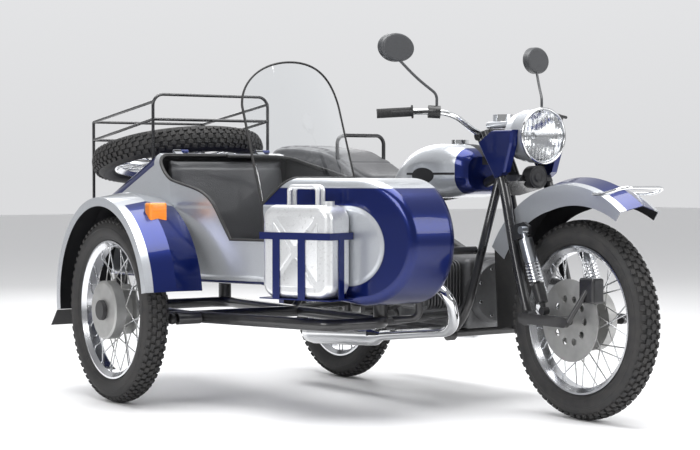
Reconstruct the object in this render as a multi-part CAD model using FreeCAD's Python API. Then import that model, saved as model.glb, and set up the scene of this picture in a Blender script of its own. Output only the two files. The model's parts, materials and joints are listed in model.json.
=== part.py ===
"""Sidecar motorcycle: a solo frame with a flat twin engine and a one-seat sidecar on its right.

Lengths are in millimetres. X points forwards, Y to the left and Z up. The pieces are drawn from
the point where the rear tyre stands, and at the end all of them move together, so that the origin
is the middle of the machine's base.
"""

import FreeCAD
import Part
import math
import os

Vector = FreeCAD.Vector

# Layout of the three wheels
wheelbase = 1500.0
sidecar_track = 1140.0
sidecar_lead = 205.0
tyre_radius = 344.0
tyre_width = 108.0

# Clearances that all the fits share
seat_gap = 0.3
running_gap = 0.05
overrun = 30.0
bend_share = 0.45
quarter_turn = 90.0

# Wheels: rim, drum hub, spokes and front brake disc
rim_radius = 256.0
rim_width = 66.0
rim_depth = 22.0
drum_radius = 108.0
hub_width = 120.0
axle_radius = 10.0
spoke_radius = 2.4
spoke_count = 36
spoke_sink = 5.0
disc_radius = 142.0
disc_thickness = 5.0
disc_hole_radius = 12.0
disc_hole_count = 10
tyre_outline_shares = [(0.56, 0.0), (0.82, 0.1), (1.0, 0.4), (0.98, 0.62), (0.84, 0.84), (0.5, 0.96)]
rim_outline_shares = [(-1.0, 1.0), (-1.0, 0.7), (-0.55, 0.0), (0.55, 0.0), (1.0, 0.7), (1.0, 1.0)]
hub_outline_shares = [
    (1.0, 0.32), (1.0, 0.92), (0.92, 1.0), (0.3, 1.0), (0.24, 0.62), (-0.5, 0.62), (-0.55, 0.86),
    (-0.72, 0.86), (-0.78, 0.5), (-1.0, 0.45),
]
spoke_seat_shares = [(0.3, 0.95), (-0.6, 0.8)]
spoke_rim_share = 0.2
spoke_lean_share = 0.8

# Steering axis, its yokes and the fork legs
steering_rake = 29.0
steering_foot_ahead = 75.0
head_low = 925.0
head_high = 1075.0
head_radius = 28.0
stem_radius = 14.0
yoke_thickness = 26.0
yoke_gap = 6.0
leg_spread = 105.0
leg_radius = 18.0
leg_lead = 60.0
leg_bend_setback = 238.0
leg_bend_z = 537.0
link_pivot_setback = 168.0
link_boss_radius = 27.0
link_boss_width = 38.0
yoke_outline_shares = [(-0.45, 0.26), (0.55, 1.0), (1.35, 1.0)]

# Leading links, front axle, brake caliper and front shock absorbers
link_height = 36.0
link_thickness = 15.0
link_reach = 68.0
link_round_share = 0.9
spacer_radius = 17.0
shock_top_setback = 170.0
shock_top_z = 650.0
shock_foot_setback = 55.0
shock_radius = 26.0
shock_eye_radius = 14.0
shock_eye_width = 26.0
shock_bracket_thickness = 12.0
caliper_forward = 108.0
caliper_rise = 108.0
caliper_length = 74.0
caliper_height = 86.0
caliper_width = 52.0
caliper_slot = 12.0
caliper_round = 9.0
shock_outline_shares = [
    (0.0, 0.3), (0.12, 0.4), (0.12, 0.95), (0.42, 0.95), (0.42, 0.42), (0.68, 0.42), (0.68, 0.86),
    (0.9, 0.8), (0.9, 0.4), (1.0, 0.3),
]
shock_coil_shares = (0.45, 0.65)
shock_coil_count = 6
shock_coil_wire = 2.6

# Fork covers, headlight and its lens
cover_rear_setback = 448.0
cover_length = 208.0
cover_low = 829.0
cover_height = 172.0
cover_width = 30.0
headlight_setback = 372.0
headlight_z = 981.0
headlight_radius = 99.0
headlight_length = 160.0
lens_thickness = 14.0
lens_bulge = 16.0
reflector_depth = 72.0
reflector_outline_shares = [(0.0, 0.94), (0.3, 0.82), (0.62, 0.6), (0.88, 0.34), (1.0, 0.14), (1.0, 0.0)]
cowl_rear_setback = 478.0
cowl_width = 116.0
cowl_low = 1010.0
cowl_height = 26.0
cowl_round = 11.0
clock_radius = 42.0
clock_height = 26.0
cover_outline_shares = [(0.52, 0.0), (0.0, 0.86), (0.04, 1.0), (1.0, 1.0), (0.98, 0.72), (0.75, 0.0)]
bucket_outline_shares = [(0.0, 0.0), (0.0, 0.42), (0.08, 0.64), (0.26, 0.86)]
bucket_side_share = 0.97
bucket_straight_shares = (0.55, 0.86)

# Handlebar, hand controls and mirrors
bar_radius = 11.0
bar_clamp_setback = 500.0
bar_clamp_z = 986.0
bar_clamp_spread = 60.0
bar_rise_setback = 490.0
bar_rise_y = 200.0
bar_rise_z = 1066.0
bar_bend_setback = 545.0
bar_bend_y = 292.0
bar_bend_z = 1072.0
bar_end_setback = 632.0
bar_end_y = 430.0
bar_end_z = 1063.0
riser_radius = 15.0
grip_radius = 17.0
grip_length = 125.0
grip_flange_radius = 24.0
grip_flange_width = 6.0
switch_radius = 23.0
switch_length = 44.0
reservoir_radius = 22.0
reservoir_height = 34.0
lever_radius = 6.0
lever_forward = 52.0
mirror_stalk_radius = 5.0
mirror_width = 170.0
mirror_height = 102.0
mirror_depth = 26.0
mirror_round = 9.0
mirror_foot_z = 1133.0
right_mirror_setback = 563.0
right_mirror_y = -392.0
right_mirror_z = 1298.0
right_mirror_turn = 12.0
left_mirror_setback = 650.0
left_mirror_y = 330.0
left_mirror_z = 1284.0
left_mirror_turn = 22.0

# Front mudguard, its chrome bow and the flap behind the wheel
front_guard_radius = 490.0
front_guard_depth = 108.0
front_guard_crown = 26.0
front_guard_start = 54.0
front_guard_end = 149.0
front_guard_cut_radius = 430.0
front_guard_cut_ahead = 52.0
front_guard_cut_z = 308.0
guard_thickness = 3.0
bow_radius = 6.0
bow_foot_ahead = 150.0
bow_side_ahead = 226.0
bow_side_z = 778.0
bow_front_ahead = 295.0
bow_front_z = 800.0
bow_side_y = 112.0
flap_thickness = 5.0
front_flap_width = 150.0
front_flap_low = 292.0
front_flap_slope = 18.0

# Motorcycle frame
frame_tube_radius = 16.0
backbone_radius = 18.0
backbone_head_setback = 420.0
backbone_head_z = 850.0
backbone_mid_x = 800.0
backbone_mid_z = 765.0
seat_rail_z = 760.0
seat_rail_radius = 14.0
seat_rail_spread = 110.0
seat_rail_front_x = 455.0
seat_rail_rear_x = -330.0
down_tube_setback = 438.0
down_tube_spread = 14.0
cradle_front_setback = 460.0
cradle_z = 262.0
cradle_spread = 150.0
cradle_front_rise = 90.0
cradle_rear_x = 190.0
upright_top_x = 60.0
upright_foot_spread = 131.0
pivot_plate_x = 385.0
pivot_plate_length = 70.0
pivot_z = 332.0

# Engine and gearbox block, with its front cover
engine_front_x = 1000.0
engine_rear_x = 560.0
engine_half_width = 118.0
engine_high = 540.0
engine_round = 26.0
gearbox_rear_x = 420.0
gearbox_half_width = 92.0
gearbox_high = 470.0
cover_disc_radius = 118.0
cover_disc_depth = 34.0
sump_drop = 34.0
cradle_tube_setback = 100.0
cradle_tube_rear_x = 520.0

# Finned cylinders and heads
cylinder_x = 880.0
cylinder_z = 440.0
barrel_radius = 62.0
fin_width = 178.0
fin_thickness = 5.0
fin_pitch = 14.0
fin_count = 11
fin_round = 30.0
head_length = 62.0
head_width = 150.0
rocker_length = 34.0
rocker_width = 128.0

# Carburettors and their intake pipes, with the air cleaner
carburettor_x = 745.0
carburettor_y = 190.0
carburettor_z = 515.0
intake_hose_radius = 17.0
intake_hose_share = 0.75
carburettor_radius = 27.0
carburettor_length = 90.0
bowl_radius = 24.0
bowl_drop = 52.0
air_box_x = 600.0
air_box_radius = 85.0
air_box_height = 105.0

# Exhaust pipes and silencers
header_radius = 20.0
header_front_x = 1118.0
header_y = 297.0
header_low_x = 1080.0
header_low_y = 225.0
header_low_z = 285.0
silencer_front_x = 640.0
silencer_rear_x = 100.0
silencer_y = 245.0
silencer_front_z = 236.0
silencer_rear_z = 205.0
silencer_radius = 44.0
silencer_outline_shares = [
    (0.0, 0.42), (0.1, 0.95), (0.2, 1.0), (0.88, 1.0), (0.96, 0.84), (1.0, 0.55),
]

# Fuel tank and its cap
tank_low = 756.0
tank_front_x = 965.0
tank_rear_x = 480.0
tank_half_width = 148.0
tank_height = 203.0
tank_cap_x = 800.0
tank_cap_radius = 34.0
tank_cap_height = 16.0
tank_station_shares = [
    (1.0, 0.6, 0.16, 0.76), (0.93, 0.8, 0.08, 0.9), (0.84, 0.92, 0.03, 0.975), (0.72, 0.99, 0.0, 1.0),
    (0.58, 1.0, 0.0, 1.0), (0.44, 0.97, 0.0, 0.96), (0.3, 0.89, 0.0, 0.86), (0.16, 0.76, 0.0, 0.7),
    (0.06, 0.64, 0.01, 0.55), (0.0, 0.54, 0.02, 0.44),
]
tank_round_share = 0.38

# Bench seat and the passenger's grab loop
bench_front_x = 478.0
bench_rear_x = -400.0
bench_half_width = 140.0
bench_height = 194.0
bench_station_shares = [
    (1.0, 0.66, 0.29), (0.87, 0.9, 0.345), (0.78, 0.95, 0.43), (0.66, 0.98, 0.65), (0.53, 1.0, 0.85),
    (0.42, 1.0, 0.93), (0.18, 1.0, 1.0), (0.0, 0.86, 0.94),
]
bench_round_share = 0.2
grab_x = 130.0
grab_spread = 112.0
grab_top_z = 1006.0
grab_radius = 8.0

# Swing arm, final drive, rear shock absorbers, rear mudguard and tail lamp
arm_spread = 100.0
arm_radius = 12.0
arm_height = 40.0
drive_radius = 78.0
drive_width = 34.0
shaft_radius = 18.0
rear_shock_x = -42.0
rear_shock_foot_x = -22.0
rear_guard_radius = 394.0
rear_guard_depth = 62.0
rear_guard_crown = 22.0
rear_guard_start = 52.0
rear_guard_end = 196.0
tail_lamp_width = 110.0
tail_lamp_height = 62.0
tail_lamp_depth = 40.0
tail_lamp_x = -350.0
tail_lamp_z = 560.0
tail_lamp_round = 10.0
plate_width = 190.0
plate_height = 140.0
plate_thickness = 4.0
plate_hole_radius = 3.5
plate_hole_spacing = 120.0
plate_drop = 34.0

# Boxes under the seat, and the foot controls
side_box_front_x = 415.0
side_box_rear_x = 150.0
side_box_inner = 97.0
side_box_outer = 158.0
side_box_low = 520.0
side_box_round = 14.0
peg_x = 600.0
peg_radius = 13.0
peg_length = 105.0
pedal_radius = 8.0
pedal_reach = 150.0
pedal_rise = 46.0
pedal_start_share = 0.2
pedal_pad_radius = 13.0

# Sidecar body: outline seen from the side and from above
body_left_inset = 728.0
body_right_inset = 150.0
body_rear_x = -450.0
body_rear_z = 672.0
body_rear_low = 560.0
body_tail_x = -320.0
body_low = 450.0
body_bend_x = 700.0
hinge_x = 212.0
hinge_z = 925.0
deck_rear_x = 714.0
deck_z = 831.0
nose_x = 1112.0
nose_radius = 218.0
taper_start_x = 340.0
taper_angle = 21.5
tail_corner = 30.0
body_wall = 4.0
body_round = 34.0
entry_low = 610.0
entry_sill_front_x = 748.0
entry_front_x = 845.0
entry_rear_x = 602.0
cockpit_rear_x = 262.0
cockpit_margin = 26.0
cockpit_front_left_x = 706.0
cockpit_front_right_x = 800.0
cockpit_round = 60.0
lid_depth = 44.0
lid_gap = 0.5
hinge_split = 3.0
hinge_radius = 7.0
hinge_pin_radius = 3.0
hinge_width = 60.0
hinge_inset = 110.0
hinge_leaf = 24.0
entry_curve_shares = [(0.08, 1.0), (0.33, 0.67), (0.76, 0.46), (0.88, 0.25)]

# Sidecar seat
seat_front_x = 660.0
seat_margin = 32.0
seat_cushion_height = 130.0
seat_back_thick = 92.0
seat_back_top = 908.0
seat_back_share = 0.42
seat_round = 22.0

# Sidecar windscreen
screen_radius = 330.0
screen_height = 432.0
screen_thickness = 4.0
screen_lean = 23.0
screen_base_drop = 130.0
screen_left_x = 714.0
screen_left_inset = 716.0
screen_right_x = 697.0
screen_foot_z = 736.0
screen_side_share = 0.66
screen_corner_share = 0.93
screen_gap = 0.5

# Sidecar mudguard, its lamps and its flap
side_guard_radius = 402.0
side_guard_centre_z = 376.0
side_guard_start = 8.0
side_guard_end = 188.0
side_guard_outer_overhang = 76.0
side_guard_lip = 50.0
side_guard_crown = 18.0
lamp_x = 436.0
lamp_inset = 40.0
lamp_width = 70.0
lamp_height = 58.0
lamp_depth = 52.0
lamp_round = 8.0
rear_lamp_x = -50.0
rear_lamp_overhang = 20.0
rear_lamp_radius = 30.0
rear_lamp_height = 40.0
side_flap_low = 256.0
side_flap_slope = 60.0

# Sidecar chassis and suspension
chassis_tube_radius = 21.0
chassis_bend = 70.0
chassis_z = 322.0
chassis_front_x = 1010.0
chassis_rear_x = -180.0
chassis_cross_x = 400.0
chassis_left_inset = 670.0
chassis_right_inset = 200.0
chassis_front_right_inset = 420.0
chassis_end_inset = 112.0
strut_radius = 14.0
front_strut_z = 570.0
front_strut_y = 372.0
rear_strut_x = 300.0
body_mount_radius = 26.0
clamp_radius = 22.0
clamp_width = 30.0
link_rise = 14.0
trail_pivot_x = 470.0
trail_radius = 19.0
trail_inset = 88.0
side_shock_top_x = 300.0
side_shock_top_z = 640.0
side_shock_foot_x = 262.0
side_shock_inset = 92.0
shock_tower_radius = 13.0

# Fuel can and the bracket that holds it beside the sidecar
can_width = 290.0
can_thickness = 128.0
can_height = 318.0
can_rear_x = 832.0
can_shelf_z = 417.0
can_round = 24.0
can_corner_round = 52.0
can_handle_rise = 62.0
can_handle_radius = 8.0
can_handle_length = 120.0
can_handle_offset = 30.0
can_cap_radius = 22.0
can_cap_height = 26.0
bracket_thickness = 4.0
bracket_gap = 2.0
band_height = 24.0
band_z = 622.0
band_thickness = 4.0
strap_width = 30.0
strap_shares = [0.23, 0.6]

# Spare wheel on the lid, and the luggage rack round it
spare_x = -150.0
spare_inset = 439.0
spare_z = 920.0
spare_tilt = 12.5
pedestal_radius = 46.0
pedestal_flare_share = 1.5
clamp_nut_radius = 22.0
clamp_nut_height = 18.0
rack_radius = 6.0
rack_front_x = 130.0
rack_rear_x = -402.0
rack_left_inset = 692.0
rack_right_inset = 186.0
rack_hoop_z = 1150.0
rack_low_z = 1055.0
rack_side_z = 1122.0
rack_rear_z = 1058.0
rack_rear_low_z = 985.0
rack_bend = 46.0

# Places that follow from the values above: the front end goes with the front axle, the sidecar with its wheel
steering_foot_x = wheelbase + steering_foot_ahead
leg_bend_x = wheelbase - leg_bend_setback
link_pivot_x = wheelbase - link_pivot_setback
shock_top_x = wheelbase - shock_top_setback
shock_foot_x = wheelbase - shock_foot_setback
cover_rear_x = wheelbase - cover_rear_setback
headlight_x = wheelbase - headlight_setback
cowl_rear_x = wheelbase - cowl_rear_setback
bar_clamp_x = wheelbase - bar_clamp_setback
bar_rise_x = wheelbase - bar_rise_setback
bar_bend_x = wheelbase - bar_bend_setback
bar_end_x = wheelbase - bar_end_setback
right_mirror_x = wheelbase - right_mirror_setback
left_mirror_x = wheelbase - left_mirror_setback
front_guard_cut_x = wheelbase + front_guard_cut_ahead
bow_foot_x = wheelbase + bow_foot_ahead
bow_side_x = wheelbase + bow_side_ahead
bow_front_x = wheelbase + bow_front_ahead
backbone_head_x = wheelbase - backbone_head_setback
down_tube_x = wheelbase - down_tube_setback
cradle_front_x = wheelbase - cradle_front_setback
cradle_tube_front_x = cradle_front_x - cradle_tube_setback
body_left = sidecar_track - body_left_inset
body_right = sidecar_track - body_right_inset
chassis_left_y = sidecar_track - chassis_left_inset
chassis_right_y = sidecar_track - chassis_right_inset
chassis_front_right_y = sidecar_track - chassis_front_right_inset
chassis_end_y = sidecar_track - chassis_end_inset
trail_y = sidecar_track - trail_inset
side_shock_y = sidecar_track - side_shock_inset
side_guard_outer = sidecar_track + side_guard_outer_overhang
lamp_y = sidecar_track - lamp_inset
rear_lamp_y = sidecar_track + rear_lamp_overhang
rack_left = sidecar_track - rack_left_inset
rack_right = sidecar_track - rack_right_inset
spare_y = spare_inset - sidecar_track
screen_left_y = screen_left_inset - sidecar_track
screen_foot_x = screen_right_x + (deck_z - screen_foot_z) * math.tan(math.radians(screen_lean))
rake = math.radians(steering_rake)
taper = math.radians(taper_angle)
rear_wheel_centre = Vector(0, 0, tyre_radius)
front_wheel_centre = Vector(wheelbase, 0, tyre_radius)
side_wheel_centre = Vector(sidecar_lead, -sidecar_track, tyre_radius)
along_y = Vector(0, 1, 0)
along_x = Vector(1, 0, 0)
upwards = Vector(0, 0, 1)
deck_fall = (hinge_z - body_rear_z) / (hinge_x - body_rear_x)
front_fall = (hinge_z - deck_z) / (deck_rear_x - hinge_x)
hinge_axis_z = hinge_z + hinge_radius + seat_gap
bench_low = seat_rail_z + seat_rail_radius + 3 * seat_gap
engine_low = cradle_z + frame_tube_radius + seat_gap
spare_axis = Vector(-math.sin(math.radians(spare_tilt)), 0, math.cos(math.radians(spare_tilt)))
spare_centre = Vector(spare_x, spare_y, spare_z)


def box(low_x, high_x, low_y, high_y, low_z, high_z):
    """A block between two limits along each axis."""
    return Part.makeBox(high_x - low_x, high_y - low_y, high_z - low_z, Vector(low_x, low_y, low_z))


def rod(start, end, radius):
    """A round bar from one point to another."""
    line = end - start
    return Part.makeCylinder(radius, line.Length, start, line)


def mirrored(shape):
    """The same piece on the other side of the motorcycle's middle plane."""
    return shape.mirror(Vector(0, 0, 0), along_y)


def join(shapes):
    """One solid out of pieces that overlap or share faces."""
    return shapes[0].multiFuse(shapes[1:])


def eased(shape, radius, wanted):
    """The shape with the edges that pass the test rounded."""
    return shape.makeFillet(radius, [edge for edge in shape.Edges if wanted(edge)])


def corner_arc(before, corner, after, setback):
    """The arc that rounds a corner, tangent to both runs, with its two ends."""
    arriving = (corner - before).normalize()
    leaving = (after - corner).normalize()
    half_turn = arriving.getAngle(leaving) / 2
    radius = setback / math.tan(half_turn)
    inward = (leaving - arriving).normalize()
    middle = corner + inward * radius * (1 / math.cos(half_turn) - 1)
    start = corner - arriving * setback
    end = corner + leaving * setback
    return start, Part.Arc(start, middle, end).toShape(), end


def bent_line(points, setbacks):
    """Straight runs through the points, with each inner corner rounded."""
    edges = []
    here = points[0]
    corners = zip(points, points[1:], points[2:], setbacks)
    for before, corner, after, setback in corners:
        start, arc, end = corner_arc(before, corner, after, setback)
        if (start - here).Length > seat_gap:
            edges.append(Part.LineSegment(here, start).toShape())
        edges.append(arc)
        here = end
    edges.append(Part.LineSegment(here, points[-1]).toShape())
    return edges


def pipe(points, radius, setback=math.inf):
    """A round tube along straight runs joined by arcs."""
    runs = [(b - a).Length for a, b in zip(points, points[1:])]
    setbacks = [min(setback, bend_share * min(pair)) for pair in zip(runs, runs[1:])]
    path = Part.Wire(bent_line(points, setbacks))
    ring = Part.Wire(Part.makeCircle(radius, points[0], points[1] - points[0]))
    return path.makePipeShell([ring], True, False)


def rounded_loop(points, radius):
    """A closed outline whose corners all have the same radius."""
    count = len(points)
    arcs = []
    for place, corner in enumerate(points):
        before = points[place - 1]
        after = points[(place + 1) % count]
        half_turn = (corner - before).getAngle(after - corner) / 2
        arcs.append(corner_arc(before, corner, after, radius * math.tan(half_turn)))
    edges = []
    for place, (start, arc, end) in enumerate(arcs):
        edges.append(arc)
        next_start = arcs[(place + 1) % count][0]
        if (next_start - end).Length > seat_gap * running_gap:
            edges.append(Part.LineSegment(end, next_start).toShape())
    return Part.Wire(edges)


def flat(points):
    """A flat face with straight edges."""
    return Part.Face(Part.makePolygon(points + points[:1]))


def side_plate(outline, low_y, high_y):
    """A plate whose outline is seen from the side."""
    face = flat([Vector(x, low_y, z) for x, z in outline])
    return face.extrude(Vector(0, high_y - low_y, 0))


def scaled(shares, x, z, length, height):
    """Side-view points from shares of a length and a height."""
    return [(x + a * length, z + b * height) for a, b in shares]


def turned(outline, foot, direction):
    """A turned piece: its outline holds distances along the axis and radii."""
    face = flat([Vector(radius, 0, distance) for distance, radius in outline])
    solid = face.revolve(Vector(0, 0, 0), upwards, math.degrees(2 * math.pi))
    solid.Placement = FreeCAD.Placement(foot, FreeCAD.Rotation(upwards, direction))
    return solid


def ring(foot, direction, length, outer, inner):
    """A tube's short length, with its bore."""
    return turned([(0, inner), (0, outer), (length, outer), (length, inner)], foot, direction)


def arch(section, centre, start, end):
    """A section of widths and radii, swept round a wheel's axis between two angles."""
    angle = math.radians(start)
    corners = [
        centre + Vector(radius * math.cos(angle), y, radius * math.sin(angle))
        for y, radius in section
    ]
    return flat(corners).revolve(centre, -along_y, end - start)


def rounded_section(x, middle, half_width, low, high, radius):
    """A rounded box section across the machine, for lofting."""
    limit = bend_share * min(2 * half_width, high - low)
    corners = [(-1, low), (1, low), (1, high), (-1, high)]
    points = [Vector(x, middle + side * half_width, z) for side, z in corners]
    return rounded_loop(points, min(radius, limit))


def rounded_box(low_x, high_x, low_y, high_y, low_z, high_z, radius):
    """A block with all its edges rounded."""
    block = box(low_x, high_x, low_y, high_y, low_z, high_z)
    return block.makeFillet(radius, block.Edges)


def on_steering(lead, side, height):
    """A point given along the steering axis: how far ahead of it, to its left, and up along it."""
    x = steering_foot_x + lead * math.cos(rake) - height * math.sin(rake)
    return Vector(x, side, lead * math.sin(rake) + height * math.cos(rake))


steering_up = on_steering(0, 0, 1) - on_steering(0, 0, 0)


def tyre(centre, axis):
    """A road tyre without its tread blocks."""
    half = tyre_width / 2
    bead = rim_radius + seat_gap
    depth = tyre_radius - bead
    one_side = [(a * half, bead + b * depth) for a, b in tyre_outline_shares]
    other_side = [(-y, radius) for y, radius in reversed(one_side)]
    return turned(one_side + [(0, tyre_radius)] + other_side, centre, axis)


def spokes():
    """Crossed spokes from both hub flanges to the rim, about the Z axis."""
    pieces = []
    hub_half = hub_width / 2
    bottom = rim_radius - rim_depth + spoke_sink
    step = 2 * math.pi / spoke_count
    for place in range(spoke_count):
        height_share, radius_share = spoke_seat_shares[place % 2]
        lean = spoke_lean_share if (place // 2) % 2 else -spoke_lean_share
        seat = Vector(drum_radius * radius_share - spoke_sink, 0, hub_half * height_share)
        start = FreeCAD.Rotation(upwards, math.degrees(place * step + lean * math.radians(90) / 2)).multVec(seat)
        end = Vector(
            bottom * math.cos(place * step),
            bottom * math.sin(place * step),
            rim_width / 2 * spoke_rim_share * (1 if height_share > 0 else -1),
        )
        pieces.append(rod(start, end, spoke_radius))
    return pieces


def rim():
    """The steel rim, about the Z axis."""
    outline = [
        (a * rim_width / 2, rim_radius - rim_depth * (1 - b)) for a, b in rim_outline_shares
    ]
    return turned(outline, Vector(0, 0, 0), upwards)


def hub():
    """The full-width hub with its brake drum, bored for the axle, about the Z axis."""
    bore = axle_radius + running_gap
    outline = [(a * hub_width / 2, b * drum_radius) for a, b in hub_outline_shares]
    return turned([(hub_width / 2, bore)] + outline + [(-hub_width / 2, bore)], Vector(0, 0, 0), upwards)


def brake_disc():
    """The drilled front brake disc, on the hub's flange end, about the Z axis."""
    low = -hub_width / 2 - disc_thickness
    disc = ring(Vector(0, 0, low), upwards, disc_thickness, disc_radius, axle_radius + running_gap)
    for place in range(disc_hole_count):
        angle = 2 * math.pi * place / disc_hole_count
        reach = (disc_radius + axle_radius) / 2
        foot = Vector(reach * math.cos(angle), reach * math.sin(angle), low - overrun)
        disc = disc.cut(rod(foot, foot + upwards * 2 * overrun, disc_hole_radius))
    return disc


def placed(shape, centre, axis):
    """A piece drawn about the Z axis, moved to a wheel's centre."""
    copy = shape.copy()
    copy.Placement = FreeCAD.Placement(centre, FreeCAD.Rotation(upwards, axis))
    return copy


def frame():
    """The tubular double cradle frame with its steering head."""
    bore = stem_radius + running_gap
    head = ring(on_steering(0, 0, head_low), steering_up, head_high - head_low, head_radius, bore)
    hole = rod(on_steering(0, 0, head_low - overrun), on_steering(0, 0, head_high + overrun), bore)
    backbone = pipe(backbone_route(), backbone_radius)
    rail_y = seat_rail_spread
    tubes = [backbone]
    tubes.append(rod(
        Vector(seat_rail_front_x, -rail_y, seat_rail_z),
        Vector(seat_rail_front_x, rail_y, seat_rail_z), seat_rail_radius))
    for side in (-1, 1):
        tubes.append(rod(
            Vector(seat_rail_front_x + seat_rail_radius, side * rail_y, seat_rail_z),
            Vector(seat_rail_rear_x, side * rail_y, seat_rail_z), seat_rail_radius))
        tubes.append(pipe(cradle_route(side), frame_tube_radius))
        low_y, high_y = sorted((side * (arm_spread + arm_radius + seat_gap), side * cradle_spread))
        half = pivot_plate_length / 2
        tubes.append(box(
            pivot_plate_x - half, pivot_plate_x + half, low_y, high_y,
            cradle_z, pivot_z + half))
    for x in (cradle_tube_front_x, cradle_tube_rear_x):
        tubes.append(rod(
            Vector(x, -cradle_spread, cradle_z), Vector(x, cradle_spread, cradle_z), frame_tube_radius))
    tubes.append(rod(
        Vector(seat_rail_rear_x, -rail_y, seat_rail_z),
        Vector(seat_rail_rear_x, rail_y, seat_rail_z), seat_rail_radius))
    return join([head] + tubes).cut(hole)


def backbone_route():
    """The backbone's line under the tank, from the steering head to the seat rails."""
    return [
        Vector(backbone_head_x, 0, backbone_head_z),
        Vector(backbone_mid_x, 0, backbone_mid_z),
        Vector(seat_rail_front_x, 0, seat_rail_z - backbone_radius / 2),
    ]


def cradle_route(side):
    """One side of the cradle: down in front of the engine, back under it and up to the seat."""
    low_y = side * cradle_spread
    return [
        Vector(down_tube_x, side * down_tube_spread, backbone_head_z),
        Vector(cradle_front_x, low_y, cradle_z + cradle_front_rise),
        Vector(cradle_front_x - cradle_front_rise, low_y, cradle_z),
        Vector(cradle_rear_x + cradle_front_rise, low_y, cradle_z),
        Vector(cradle_rear_x, side * upright_foot_spread, cradle_z + cradle_front_rise),
        Vector(upright_top_x, side * seat_rail_spread, seat_rail_z),
    ]


def fork():
    """The steering stem, both yokes and the bent fork legs with their link bosses."""
    stem_low = head_low - yoke_gap - yoke_thickness
    stem_high = head_high + yoke_gap + yoke_thickness
    pieces = [rod(on_steering(0, 0, stem_low), on_steering(0, 0, stem_high), stem_radius)]
    for height in (stem_low, stem_high - yoke_thickness):
        outline = [(lead * leg_lead, leg_spread * across) for lead, across in yoke_outline_shares]
        left = [on_steering(lead, side, height) for lead, side in outline]
        right = [on_steering(lead, -side, height) for lead, side in reversed(outline)]
        pieces.append(flat(left + right).extrude(steering_up * yoke_thickness))
    for side in (-1, 1):
        pieces.append(leg(side, leg_radius))
        foot = Vector(link_pivot_x, side * (leg_spread - link_boss_width / 2), tyre_radius)
        pieces.append(rod(foot, foot + along_y * side * link_boss_width, link_boss_radius))
        pieces.append(shock_bracket(side))
        riser_foot = on_steering(-leg_lead * bend_share, side * bar_clamp_spread, stem_high - yoke_thickness / 2)
        riser_top = Vector(bar_clamp_x, side * bar_clamp_spread, bar_clamp_z)
        pieces.append(rod(riser_foot, riser_top, riser_radius))
        width = riser_radius
        clamp = rod(riser_top - along_y * width, riser_top + along_y * width, bar_radius + riser_radius / 2)
        pieces.append(clamp)
        pieces.append(rod(riser_foot, on_steering(0, side * bar_clamp_spread / 2, stem_high - yoke_thickness / 2), riser_radius / 2))
    return join(pieces).cut(pipe(bar_route(), bar_radius + seat_gap))


def leg_route(side):
    """A fork leg's line: straight past the yokes, then forwards to the link's pivot."""
    y = side * leg_spread
    return [
        on_steering(leg_lead, y, head_high + yoke_gap + yoke_thickness),
        on_steering(leg_lead, y, head_low - yoke_gap - yoke_thickness / 2),
        Vector(leg_bend_x, y, leg_bend_z),
        Vector(link_pivot_x, y, tyre_radius),
    ]


def leg(side, radius):
    """One fork leg."""
    return pipe(leg_route(side), radius)


def shock_bracket(side):
    """The ear on a fork leg that holds the top of the shock absorber."""
    half = shock_eye_radius
    outline = [
        (shock_top_x + half, shock_top_z - half), (shock_top_x + half, shock_top_z + half),
        (shock_top_x - half, shock_top_z + 2 * half), (leg_bend_x - half, shock_top_z + half),
        (leg_bend_x - half, shock_top_z - 3 * half),
    ]
    low_y, high_y = sorted((side * leg_spread, side * (leg_spread + shock_bracket_thickness)))
    return side_plate(outline, low_y, high_y)


def link_arms():
    """The leading links with the front axle, and the brake caliper on the right one."""
    inner = leg_spread + link_boss_width / 2 + seat_gap
    outer = inner + link_thickness
    half = link_height / 2
    pieces = []
    for side in (-1, 1):
        low_y, high_y = sorted((side * inner, side * outer))
        pieces.append(link_plate(low_y).extrude(Vector(0, high_y - low_y, 0)))
        start = Vector(wheelbase, side * (hub_width / 2 + disc_thickness + seat_gap), tyre_radius)
        pieces.append(rod(start, Vector(wheelbase, side * inner, tyre_radius), spacer_radius))
    axle_end = along_y * outer
    pieces.append(rod(front_wheel_centre - axle_end, front_wheel_centre + axle_end, axle_radius))
    pieces.append(caliper(inner))
    return join(pieces)


def link_plate(y):
    """One link's outline, round at both ends."""
    half = link_height / 2
    rear = link_pivot_x - half
    front = wheelbase + link_reach
    points = [
        Vector(rear, y, tyre_radius - half), Vector(front, y, tyre_radius - half),
        Vector(front, y, tyre_radius + half), Vector(rear, y, tyre_radius + half),
    ]
    return Part.Face(rounded_loop(points, half * link_round_share))


def caliper(link_inner):
    """The brake caliper astride the disc, on its carrier."""
    x = wheelbase + caliper_forward
    z = tyre_radius + caliper_rise
    disc_y = -hub_width / 2 - disc_thickness / 2
    body = rounded_box(
        x - caliper_length / 2, x + caliper_length / 2, disc_y - caliper_width / 2, disc_y + caliper_width / 2,
        z - caliper_height / 2, z + caliper_height / 2, caliper_round)
    reach = disc_radius + caliper_round
    low_y = disc_y - caliper_slot / 2
    slot = rod(Vector(wheelbase, low_y, tyre_radius), Vector(wheelbase, low_y + caliper_slot, tyre_radius), reach)
    start = Vector(wheelbase + link_reach, -link_inner - link_thickness / 2, tyre_radius)
    end = Vector(x, disc_y - caliper_width / 2 + caliper_round / 2, z)
    return join([body.cut(slot), rod(start, end, caliper_round)])


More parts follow.
